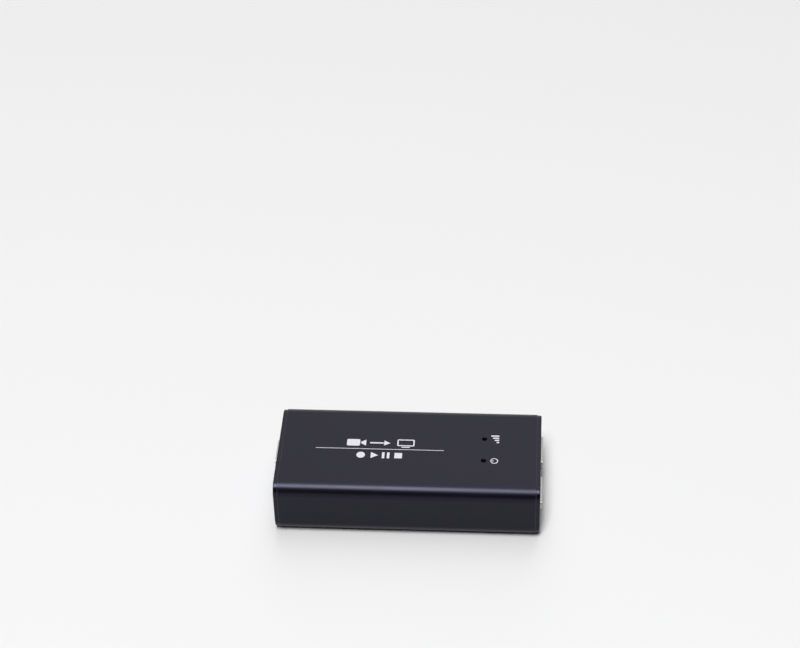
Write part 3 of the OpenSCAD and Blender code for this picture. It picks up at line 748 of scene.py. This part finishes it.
class CAPTURE_OT_screws(Operator):
    """Countersunk screws with cross recesses, four at each end"""

    bl_idname = "capture.screws"
    bl_label = "Screws"

    RIM_BREAK = 0.08 * MM
    TIP_BEVEL = 0.4 * MM
    RECESS_DEPTH = 1.1 * MM
    RECESS_HALF = 0.35 * MM
    RECESS_TAPER = 0.72
    WING_SHARE = 0.275

    def execute(self, context):
        case = context.scene.capture_case
        look = context.scene.capture_finishes
        oxide = oxide_finish(look.black_oxide)
        low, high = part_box("video_end_screws")
        y, z = screw_places()[0]
        pattern = self.screw(case, high.x, high.x - low.x, y, z)
        for end, node in ((1, "video_end_screws"), (-1, "data_end_screws")):
            copies = [copy_moved(pattern, (0, sy - y, sz - z), "screw") for sy, sz in screw_places()]
            group = join(node.replace("_end", ""), copies)
            if end < 0:
                mirror_x(group)
            finish(group, oxide, [node])
        remove(pattern)
        return {"FINISHED"}

    def screw(self, case, face_x, run, y, z):
        cone = (case.screw_head - case.screw) / 2
        foot_x = face_x - case.head_rim - cone
        screw = headed_rod("screw_pattern", (foot_x, y, z), cone, case.screw / 2, case.screw_head / 2,
                           case.head_rim, run - case.head_rim - cone)
        round_rim(screw, self.RIM_BREAK, 2, facing(0))
        round_rim(screw, self.TIP_BEVEL, 1, facing(0, -1))
        end_x = face_x - self.RECESS_DEPTH
        wing, thick = self.WING_SHARE * case.screw_head, self.RECESS_HALF
        taper = (1, self.RECESS_TAPER, self.RECESS_TAPER)
        for half_y, half_z in ((wing, thick), (thick, wing)):
            cutter = block("recess", (end_x, y - half_y, z - half_z), (face_x + MM, y + half_y, z + half_z))
            with editing(cutter, "FACE"):
                pick_faces(cutter, facing(0, -1))
                bpy.ops.transform.resize(value=taper, center_override=(end_x, y, z))
            carve(screw, cutter)
        return screw


LEG_BREAK = 0.08 * MM
LEG_INSIDE_SHEET = 0.02 * MM


def sheet_leg(x0, x1, y0, y1, foot_z, top_z):
    """A leg of a socket's shell, with its edges broken."""
    leg = block("leg", (x0, y0, foot_z), (x1, y1, top_z))
    round_edges(leg, LEG_BREAK, 2)
    return leg


def mouth_prism(name, shell_node, x0, x1, grow, socket):
    """A prism with a video socket's outline, grown by a distance: two bevelled lower edges, round corners."""
    low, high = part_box(shell_node)
    middle_y = (low.y + high.y) / 2
    floor = BOARD_HIGH.z + socket.sheet
    foot_z, roof_z = floor - grow, floor + socket.mouth_h + grow
    half = socket.mouth_w / 2 + grow
    prism = block(name, (x0, middle_y - half, foot_z), (x1, middle_y + half, roof_z))
    # The bevel of a grown outline is a little longer than the mouth's own
    longer = (2 - math.sqrt(2)) * grow
    round_edges(prism, socket.shoulder + longer, 1, runs_along(0, foot_z))
    radius = socket.mouth_round + grow / 2
    round_edges(prism, radius, 6, runs_along(0, roof_z))
    tangent = radius * math.tan(math.pi / 8)
    along = runs_along(0)
    round_edges(prism, tangent, 5, lambda a, b: along(a, b) and a.z < roof_z - radius - 2 * TINY)
    return prism


class CAPTURE_OT_video_sockets(Operator):
    """Video sockets: folded shells with sprung fingers, mouldings with tongues, gold contacts"""

    bl_idname = "capture.video_sockets"
    bl_label = "Video sockets"

    MOUTH_BREAK = 0.12 * MM
    WINDOW_HALF = 0.6 * MM
    FINGER_ROOT = 0.2 * MM
    # Shares of a finger's length, and of its dip at each
    FINGER_BEND = ((0.2, 0.12), (0.4, 0.4), (0.6, 0.85), (0.75, 1.0), (0.9, 0.75), (1.0, 0.5))
    LEGS_FROM_MOUTH = (4.6 * MM, 9.4 * MM)
    LEG_HALF = 0.6 * MM
    LEG_RISE = 2.9 * MM
    BACK_DEPTH = 2.6 * MM
    BACK_GAP = 0.1 * MM
    TONGUE_HALF = 0.6 * MM
    TONGUE_SIDE = 1.3 * MM
    TONGUE_ROUND = 0.2 * MM
    CONTACT_PITCH = MM
    GROOVE_HALF = 0.2 * MM
    GROOVE_DEPTH = 0.16 * MM
    GROOVE_RUN = 6.5 * MM
    GROOVE_PAST = 0.05 * MM

    def execute(self, context):
        look = context.scene.capture_finishes
        socket = context.scene.capture_sockets
        nickel = metal_finish("nickel_sheet", look.nickel, 0.24)
        black = moulding_finish("black_moulding", look.moulding_black)
        gold = metal_finish("gold_flash", look.gold, 0.36)
        shell, moulding = self.shell(socket), self.moulding(socket)
        for node, name in (("video_in", "video_input"), ("video_out", "video_output")):
            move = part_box(f"{node}_shell")[0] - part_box("video_in_shell")[0]
            finish(copy_moved(shell, move, f"{name}_shell"), nickel, [f"{node}_shell"])
            finish(copy_moved(moulding, move, f"{name}_moulding"), black,
                   [f"{node}_insulator"])
            dress(f"{node}_contacts", gold)
        remove(shell, moulding)
        return {"FINISHED"}

    def shell(self, socket):
        """Shell of the input socket."""
        low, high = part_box("video_in_shell")
        middle_y = (low.y + high.y) / 2
        shell = mouth_prism("shell_pattern", "video_in_shell", low.x, high.x, socket.sheet, socket)
        with editing(shell, "FACE"):
            pick_faces(shell, facing(0))
            bpy.ops.mesh.inset(thickness=socket.sheet, use_even_offset=True)
            extrude((low.x + socket.sheet - high.x, 0, 0))
        round_rim(shell, self.MOUTH_BREAK, 2, facing(0, 1, high.x))
        floor_z = BOARD_HIGH.z + socket.sheet
        root_x = high.x - socket.finger_from_mouth
        half = socket.finger_w / 2 + socket.finger_slit
        pieces = []
        for face, z in ((1, floor_z + socket.mouth_h), (-1, floor_z)):
            for side in (-1, 1):
                y = middle_y + side * socket.finger_y
                carve(shell, block("window", (root_x - socket.finger_l, y - half, z - self.WINDOW_HALF),
                                   (root_x, y + half, z + self.WINDOW_HALF)))
                pieces.append(self.finger(socket, root_x, y, z, face))
        inner = socket.mouth_w / 2 + LEG_INSIDE_SHEET
        outer = socket.mouth_w / 2 + socket.sheet - LEG_INSIDE_SHEET
        for back in self.LEGS_FROM_MOUTH:
            x = high.x - back
            for side in (-1, 1):
                pieces.append(sheet_leg(x - self.LEG_HALF, x + self.LEG_HALF, middle_y + side * inner,
                                        middle_y + side * outer, low.z, floor_z + self.LEG_RISE))
        return carve(shell, *pieces, how="UNION")

    def finger(self, socket, root_x, y, z, face):
        """A leaf that dips into the mouth and rises again at its tip."""
        reach = socket.finger_l - socket.finger_slit
        half = socket.finger_w / 2
        inner, outer = 0.05 * socket.sheet, 0.75 * socket.sheet
        leaf = block("finger", (root_x - reach, y - half, z + face * inner),
                     (root_x + self.FINGER_ROOT, y + half, z + face * outer))
        with editing(leaf, "EDGE"):
            pick_edges(leaf, runs_along(0))
            bpy.ops.mesh.subdivide(number_cuts=9)
        with editing(leaf, "VERT"):
            for share, dip in self.FINGER_BEND:
                near = root_x - share * reach
                pick_points(leaf, lambda point: abs(point.x - near) < 0.06 * reach)
                bpy.ops.transform.translate(value=(0, 0, -face * dip * socket.finger_dip))
        return leaf

    def moulding(self, socket):
        """Moulding of the input socket: a back that fits the shell, and a tongue."""
        low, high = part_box("video_in_insulator")
        middle_y = (low.y + high.y) / 2
        front_x = low.x + self.BACK_DEPTH
        back = mouth_prism("moulding_pattern", "video_in_shell", low.x, front_x, -self.BACK_GAP, socket)
        round_edges(back, socket.moulding_round, 2, lies_at(0, front_x))
        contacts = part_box("video_in_contacts")[1]
        half_t = self.TONGUE_HALF
        middle_z = contacts.z - half_t
        half_w = socket.mouth_w / 2 - self.TONGUE_SIDE
        tongue = block("tongue", (low.x + MM, middle_y - half_w, middle_z - half_t),
                       (high.x, middle_y + half_w, middle_z + half_t))
        round_edges(tongue, self.TONGUE_ROUND, 3, lies_at(0, high.x))
        carve(tongue, self.grooves(contacts.x, middle_y, middle_z))
        return carve(back, tongue, how="UNION")

    def grooves(self, front_x, middle_y, middle_z):
        """Grooves for ten contacts over the tongue and nine under it."""
        half, depth = self.GROOVE_HALF, self.GROOVE_DEPTH
        tools = []
        for face, count in ((1, 10), (-1, 9)):
            z = middle_z + face * self.TONGUE_HALF
            for i in range(count):
                y = middle_y + (i - (count - 1) / 2) * self.CONTACT_PITCH
                tools.append(block("groove", (front_x - self.GROOVE_RUN, y - half, z - depth),
                                   (front_x + self.GROOVE_PAST, y + half, z + depth)))
        return join("grooves", tools)


class CAPTURE_OT_data_socket(Operator):
    """Data socket: folded shell, moulding with two tongues, gold contacts"""

    bl_idname = "capture.data_socket"
    bl_label = "Data socket"

    MOUTH_BREAK = 0.08 * MM
    LEG_FROM, LEG_TO = 7.2 * MM, 8.8 * MM
    # Thickness of each tongue as a share of its part of the mouth, and the room on its sides
    LOWER_SHARE, UPPER_SHARE = 0.41, 0.36
    LOWER_SIDE, UPPER_SIDE = 1.45 * MM, 0.65 * MM
    TONGUE_FROM_MOUTH = MM
    TONGUE_INTO_BACK = 0.5 * MM
    LOWER_CONTACTS = (-1.25 * MM, 1.25 * MM)
    UPPER_CONTACTS = tuple(0.85 * MM * i for i in range(-2, 3))
    LOWER_GROOVE_HALF, UPPER_GROOVE_HALF = 0.49 * MM, 0.24 * MM
    GROOVE_DEPTH = 0.24 * MM
    GROOVE_FROM_MOUTH = 1.5 * MM

    def execute(self, context):
        look = context.scene.capture_finishes
        socket = context.scene.capture_sockets
        nickel = metal_finish("nickel_case", look.nickel, 0.26)
        blue = moulding_finish("blue_moulding", look.moulding_blue)
        finish(self.shell(socket), nickel, ["data_shell"])
        finish(self.moulding(socket), blue, ["data_insulator"])
        dress("data_contacts", metal_finish("gold_pins", look.gold, 0.36))
        return {"FINISHED"}

    def shell(self, socket):
        low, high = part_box("data_shell")
        shell = block("data_case", (low.x, low.y, BOARD_HIGH.z), high)
        round_edges(shell, socket.data_bend, 6, runs_along(0, high.z))
        with editing(shell, "FACE"):
            pick_faces(shell, lambda middle, normal: min(normal.x, normal.z) < -0.99)
            bpy.ops.mesh.delete(type="FACE")
        apply(shell, "SOLIDIFY", thickness=socket.data_sheet, offset=-1, use_even_offset=True)
        round_rim(shell, self.MOUTH_BREAK, 2, facing(0, -1, low.x))
        inner, outer = high.y - socket.data_sheet + LEG_INSIDE_SHEET, high.y - LEG_INSIDE_SHEET
        for side in (-1, 1):
            leg = sheet_leg(low.x + self.LEG_FROM, low.x + self.LEG_TO, side * inner, side * outer,
                            low.z, BOARD_HIGH.z + MM)
            carve(shell, leg, how="UNION")
        return shell

    def moulding(self, socket):
        """Body with a stepped mouth, a thick lower tongue and a thin upper one."""
        low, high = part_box("data_insulator")
        roof_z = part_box("data_shell")[1].z
        foot = low.z + socket.data_floor
        top = roof_z - socket.data_roof
        step = foot + socket.data_mouth_share * (top - foot)
        xs = low.x, high.x - socket.data_back
        half = socket.data_mouth_w / 2
        body = block("data_moulding", low, high)
        bend = socket.data_bend - (roof_z - high.z)
        round_edges(body, bend, 4, runs_along(0, high.z))
        mouth = block("mouth", (low.x - MM, -half, foot), (xs[1], half, step))
        round_edges(mouth, socket.data_shoulder, 1, runs_along(0, step))
        with editing(mouth, "FACE"):
            pick_faces(mouth, facing(2))
            extrude((0, 0, top - step))
        carve(body, mouth)
        round_rim(body, socket.moulding_round, 3, facing(0, -1, low.x))
        lower_t, upper_t = self.LOWER_SHARE * (step - foot), self.UPPER_SHARE * (top - step)
        lower_z, upper_z = (foot + step - lower_t) / 2, (step + top) / 2
        lower = self.tongue(socket, xs, half - self.LOWER_SIDE, lower_z, lower_t)
        upper = self.tongue(socket, xs, half - socket.data_shoulder - self.UPPER_SIDE, upper_z, upper_t)
        for z in (lower_z, lower_z + lower_t):
            carve(lower, self.grooves(xs, self.LOWER_CONTACTS, self.LOWER_GROOVE_HALF, z))
        carve(upper, self.grooves(xs, self.UPPER_CONTACTS, self.UPPER_GROOVE_HALF, upper_z))
        return carve(body, lower, upper, how="UNION")

    def tongue(self, socket, xs, half_w, foot, thick):
        front_x, end_x = xs[0] + self.TONGUE_FROM_MOUTH, xs[1] + self.TONGUE_INTO_BACK
        piece = block("tongue", (front_x, -half_w, foot), (end_x, half_w, foot + thick))
        round_edges(piece, 0.6 * socket.moulding_round, 3, lies_at(0, front_x))
        return piece

    def grooves(self, xs, places, half_w, face_z):
        """Grooves for the contacts in one face of a tongue."""
        x0, x1 = xs[0] + self.GROOVE_FROM_MOUTH, xs[1] + MM
        z0, z1 = face_z - self.GROOVE_DEPTH, face_z + self.GROOVE_DEPTH
        return join("grooves", [block("groove", (x0, y - half_w, z0), (x1, y + half_w, z1)) for y in places])


class CAPTURE_OT_lamps(Operator):
    """Domed indicator lamps, their spacers and leads"""

    bl_idname = "capture.lamps"
    bl_label = "Lamps"

    COLOURS = {"signal_lamp": (0.55, 0.62, 0.75), "power_lamp": (0.75, 0.6, 0.58)}
    FLANGE_HEIGHT = MM
    FLANGE_RIM = 0.4 * MM
    DOME_SHARE = 0.97

    def execute(self, context):
        low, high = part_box("signal_lamp")
        pattern = self.lens(low, high)
        for node, rgb in self.COLOURS.items():
            lens = copy_moved(pattern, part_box(node)[0] - low, node.replace("_lamp", "_lens"))
            finish(lens, lens_finish(f"{node}_epoxy", rgb), [node])
            dress(f"{node}_spacer", moulding_finish(f"{node}_nylon", (0.02, 0.02, 0.02), 0.5))
        remove(pattern)
        dress("lamp_leads", metal_finish("tinned_wire", (0.7, 0.69, 0.66), 0.3))
        return {"FINISHED"}

    def lens(self, low, high):
        """A flange with a domed body on it."""
        middle = (low + high) / 2
        flange = (high.x - low.x) / 2
        lens = rod("lens_pattern", (middle.x, middle.y, low.z), self.FLANGE_HEIGHT, flange, sides=64)
        with editing(lens, "FACE"):
            pick_faces(lens, facing(2))
            bpy.ops.mesh.inset(thickness=self.FLANGE_RIM)
            extrude((0, 0, high.z - low.z - self.FLANGE_HEIGHT))
        round_rim(lens, self.DOME_SHARE * (flange - self.FLANGE_RIM), 14, facing(2, 1, high.z))
        return lens


class CAPTURE_OT_board(Operator):
    """Finishes of the circuit board and the parts on it"""

    bl_idname = "capture.board"
    bl_label = "Circuit board"

    def execute(self, context):
        look = context.scene.capture_finishes
        chip = moulding_finish("chip_moulding", (0.02, 0.02, 0.022), 0.5)
        tin = metal_finish("drawn_can", (0.68, 0.67, 0.64), 0.28)
        finishes = {
            "main_board": board_finish(look.solder_mask),
            "insulating_film": film_finish((0.8, 0.8, 0.74)),
            "thermal_tape": moulding_finish("thermal_tape", (0.55, 0.55, 0.52), 0.7),
            "heat_sink": anodised_finish("anodised_sink", (0.02, 0.02, 0.022), (0.1, 0.1, 0.1)),
            "crystals": tin,
            "electrolytic_capacitors": metal_finish("capacitor_can", (0.72, 0.72, 0.73), 0.3),
            "inductors": moulding_finish("ferrite", (0.04, 0.04, 0.042), 0.6),
            "ceramic_capacitors": moulding_finish("tan_ceramic", (0.34, 0.24, 0.14), 0.5),
            "resistors": moulding_finish("dark_glaze", (0.02, 0.02, 0.02), 0.35),
        }
        for node in ("capture_processor", "video_receiver", "video_splitter", "memory_chips", "flash_chip",
                     "voltage_regulators", "surge_arrays"):
            finishes[node] = chip
        for node, material in finishes.items():
            dress(node, material)
        return {"FINISHED"}


class CAPTURE_OT_top_print(Operator):
    """White print on the top: a long rule, plain signs by it and a sign by each lamp"""

    bl_idname = "capture.top_print"
    bl_label = "Top print"

    ROW_FROM_RULE = 3.4 * MM
    TRANSPORT_X, TRANSPORT_PITCH = -18.2 * MM, 4.75 * MM
    CAMERA_X, ARROW_X, SCREEN_X = -20.6 * MM, -10.9 * MM, -1.4 * MM
    SCREEN_LINE, POWER_LINE = 0.5 * MM, 0.34 * MM

    def execute(self, context):
        ink = context.scene.capture_print
        self.low = TOP_Z - 0.2 * ink.ink
        self.high = TOP_Z + ink.ink
        rule_x, rule_long = (ink.rule_from + ink.rule_to) / 2, ink.rule_to - ink.rule_from
        signal, power = lamp_places()
        sign_x = signal.x + ink.lamp_sign_from_hole
        sheet = join("top_print", [
            self.bar(rule_x, ink.rule_y, rule_long, ink.rule_w),
            *self.transport_signs(ink),
            *self.route_signs(ink),
            *self.bars_sign(sign_x, signal.y, ink.lamp_sign),
            *self.power_sign(sign_x, power.y, ink.lamp_sign),
        ])
        round_edges(sheet, 0.3 * ink.ink, 1, lies_at(2, self.high))
        finish(sheet, ink_finish(context.scene.capture_finishes.ink))
        return {"FINISHED"}

    def slab(self, name, x, y, long, wide, past=0):
        """A flat block round a middle, as thick as the ink, or past it on both sides."""
        return block(name, (x - long / 2, y - wide / 2, self.low - past),
                     (x + long / 2, y + wide / 2, self.high + past))

    def bar(self, x, y, long, wide, corner=0.1 * MM):
        """A flat bar of ink with its corners softened."""
        piece = self.slab("bar", x, y, long, wide)
        round_edges(piece, min(corner, 0.45 * min(long, wide)), 3, runs_along(2))
        return piece

    def disc(self, x, y, radius, sides=48):
        return rod("disc", (x, y, self.low), self.high - self.low, radius, sides=sides)

    def frame_sign(self, x, y, long, wide, line):
        """An open frame."""
        outer = self.bar(x, y, long, wide, 0.5 * MM)
        return carve(outer, self.slab("cutter", x, y, long - 2 * line, wide - 2 * line, past=MM))

    def triangle(self, x, y, size):
        """A triangle that points along +X."""
        piece = self.disc(x, y, size * 0.58, sides=3)
        with editing(piece, "FACE"):
            bpy.ops.mesh.select_all(action="SELECT")
            bpy.ops.transform.rotate(value=math.pi / 2, orient_axis="Z", center_override=(x, y, TOP_Z))
        return piece

    def transport_signs(self, ink):
        """Record, play, pause and stop, under the rule."""
        size = 0.74 * ink.sign
        y = ink.rule_y - self.ROW_FROM_RULE
        record_x, play_x, pause_x, stop_x = (self.TRANSPORT_X + self.TRANSPORT_PITCH * i for i in range(4))
        return [
            self.disc(record_x, y, size / 2),
            self.triangle(play_x, y, size),
            self.bar(pause_x - 0.29 * size, y, 0.3 * size, size),
            self.bar(pause_x + 0.29 * size, y, 0.3 * size, size),
            self.bar(stop_x, y, 0.9 * size, 0.9 * size, 0.25 * MM),
        ]

    def route_signs(self, ink):
        """A camera, an arrow and a screen, over the rule."""
        size = ink.sign
        y = ink.rule_y + self.ROW_FROM_RULE
        line = self.SCREEN_LINE
        return [
            self.bar(self.CAMERA_X - 0.8 * MM, y, 5 * MM, 0.82 * size, 0.6 * MM),
            self.lens_hood(self.CAMERA_X + 3.1 * MM, y, 0.72 * size),
            self.bar(self.ARROW_X - 1.6 * MM, y, 5.2 * MM, 0.7 * MM),
            self.triangle(self.ARROW_X + 2 * MM, y, 0.62 * size),
            self.frame_sign(self.SCREEN_X, y + 0.35 * MM, 6.6 * MM, 0.84 * size, line),
            self.bar(self.SCREEN_X, y - 0.5 * size + 0.12 * MM, 3.2 * MM, line),
        ]

    def lens_hood(self, x, y, size):
        """A hood that opens along +X."""
        piece = self.bar(x, y, 1.9 * MM, size, 0.05 * MM)
        with editing(piece, "VERT"):
            pick_points(piece, lambda point: point.x < x)
            bpy.ops.transform.resize(value=(1, 0.3, 1), center_override=(x, y, TOP_Z))
        return piece

    def bars_sign(self, x, y, size):
        """Four rising bars, read from the right-hand side of the box."""
        pieces = []
        for i in range(4):
            high = size * (0.3 + 0.22 * i)
            across = y + (i - 1.5) * 0.37 * size
            pieces.append(self.bar(x + size / 2 - high / 2, across, high, 0.21 * size, 0.08 * MM))
        return pieces

    def power_sign(self, x, y, size):
        """A ring with a gap and a stem in it, the common sign for power."""
        radius, line = 0.46 * size, self.POWER_LINE
        ring = self.disc(x, y, radius)
        hole = rod("hole", (x, y, self.low - MM), 3 * MM, radius - line)
        gap = self.slab("cutter", x - radius, y, 1.1 * radius, 0.62 * radius, past=MM)
        carve(ring, hole, gap)
        return [ring, self.bar(x - 0.62 * radius, y, 0.95 * radius, line, 0.06 * MM)]


class CAPTURE_OT_stage(Operator):
    """Pale floor, soft light and the camera"""

    bl_idname = "capture.stage"
    bl_label = "Stage"

    def execute(self, context):
        look = context.scene.capture_stage
        context.scene.view_settings.view_transform = "Standard"
        self.floor(look)
        self.world(context.scene, look)
        self.softbox(look)
        self.camera(context.scene, look)
        return {"FINISHED"}

    def floor(self, look):
        deselect()
        bpy.ops.mesh.primitive_plane_add(size=3)
        floor = placed("floor")
        paint = Paint("floor", Base_Color=look.floor, Roughness=0.9, Specular_IOR_Level=0.0)
        floor.data.materials.append(paint.material)

    def world(self, scene, look):
        """A soft sky: a bright band from behind the box to overhead, dark round it, pale near the floor."""
        world = bpy.data.worlds.new("soft_sky")
        scene.world = world
        world.use_nodes = True
        sky = Graph(world.node_tree)
        way = sky.node("ShaderNodeTexCoord", out="Generated")
        along, back, up = (sky.axis(way, name) for name in "XYZ")
        # The band starts over the box's front, ends before its two ends, and is brightest straight up
        share = sky.ease(back, (-0.55, -0.05), (0, 1)) * sky.ease(abs(along), (0.12, 0.45), (1, 0))
        share = share * sky.ease(up, (0.5, 0.95), (0.75, 1.45))
        level = look.sky_front + (look.sky_back - look.sky_front) * share
        level = sky.ease(up, (0.04, 0.16), (look.horizon, level))
        sky.feed(world.node_tree.nodes["Background"].inputs["Color"], (1, 1, 1))
        sky.feed(world.node_tree.nodes["Background"].inputs["Strength"], level)

    def softbox(self, look):
        """A long area light that faces the box from overhead, a little to the front and to the left."""
        way = Vector((-math.tan(look.softbox_left), -math.tan(look.softbox_lean), 1)).normalized()
        bpy.ops.object.light_add(
            type="AREA", location=way * look.softbox_away, rotation=way.to_track_quat("Z", "Y").to_euler()
        )
        light = bpy.context.object
        light.name = light.data.name = "overhead_softbox"
        light.data.shape = "RECTANGLE"
        light.data.size, light.data.size_y = look.softbox_width, look.softbox_length
        light.data.energy = look.softbox_power

    def camera(self, scene, look):
        yaw, pitch, roll = look.yaw, look.pitch, look.roll
        back = Vector((math.sin(yaw) * math.cos(pitch), -math.cos(yaw) * math.cos(pitch), math.sin(pitch)))
        right = Vector((math.cos(yaw), math.sin(yaw), 0))
        up = back.cross(right)
        across = math.cos(roll) * right + math.sin(roll) * up
        above = math.cos(roll) * up - math.sin(roll) * right
        camera = bpy.data.objects.new("camera", bpy.data.cameras.new("camera"))
        scene.collection.objects.link(camera)
        turn = Matrix((across, above, back)).transposed().to_4x4()
        camera.matrix_world = Matrix.Translation(Vector(look.camera_place) + Vector((0, 0, TOP_Z))) @ turn
        camera.data.sensor_width = 36
        camera.data.lens = look.lens_mm
        camera.data.clip_start, camera.data.clip_end = 0.02, 30
        scene.camera = camera


STEPS = (
    CAPTURE_OT_stage,
    CAPTURE_OT_tube,
    CAPTURE_OT_end_plates,
    CAPTURE_OT_screws,
    CAPTURE_OT_video_sockets,
    CAPTURE_OT_data_socket,
    CAPTURE_OT_lamps,
    CAPTURE_OT_board,
    CAPTURE_OT_top_print,
)
GROUPS = {
    "capture_case": CaseSizes,
    "capture_sockets": SocketSizes,
    "capture_print": PrintSizes,
    "capture_finishes": Finishes,
    "capture_stage": StageLook,
}


class CAPTURE_PT_panel(Panel):
    """Lists the steps and the values that they use"""

    bl_idname = "CAPTURE_PT_panel"
    bl_label = "Capture box"
    bl_space_type = "VIEW_3D"
    bl_region_type = "UI"
    bl_category = "Capture box"

    def draw(self, context):
        for step in STEPS:
            self.layout.operator(step.bl_idname)
        for group in GROUPS:
            box = self.layout.box()
            values = getattr(context.scene, group)
            for name in values.__annotations__:
                box.prop(values, name)


CLASSES = (*GROUPS.values(), *STEPS, CAPTURE_PT_panel)


def register():
    for each in CLASSES:
        bpy.utils.register_class(each)
    for name, group in GROUPS.items():
        setattr(bpy.types.Scene, name, PointerProperty(type=group))


def unregister():
    for name in GROUPS:
        delattr(bpy.types.Scene, name)
    for each in reversed(CLASSES):
        bpy.utils.unregister_class(each)


def main():
    register()
    for step in STEPS:
        group, name = step.bl_idname.split(".")
        getattr(getattr(bpy.ops, group), name)()
    deselect()


if __name__ == "__main__":
    main()
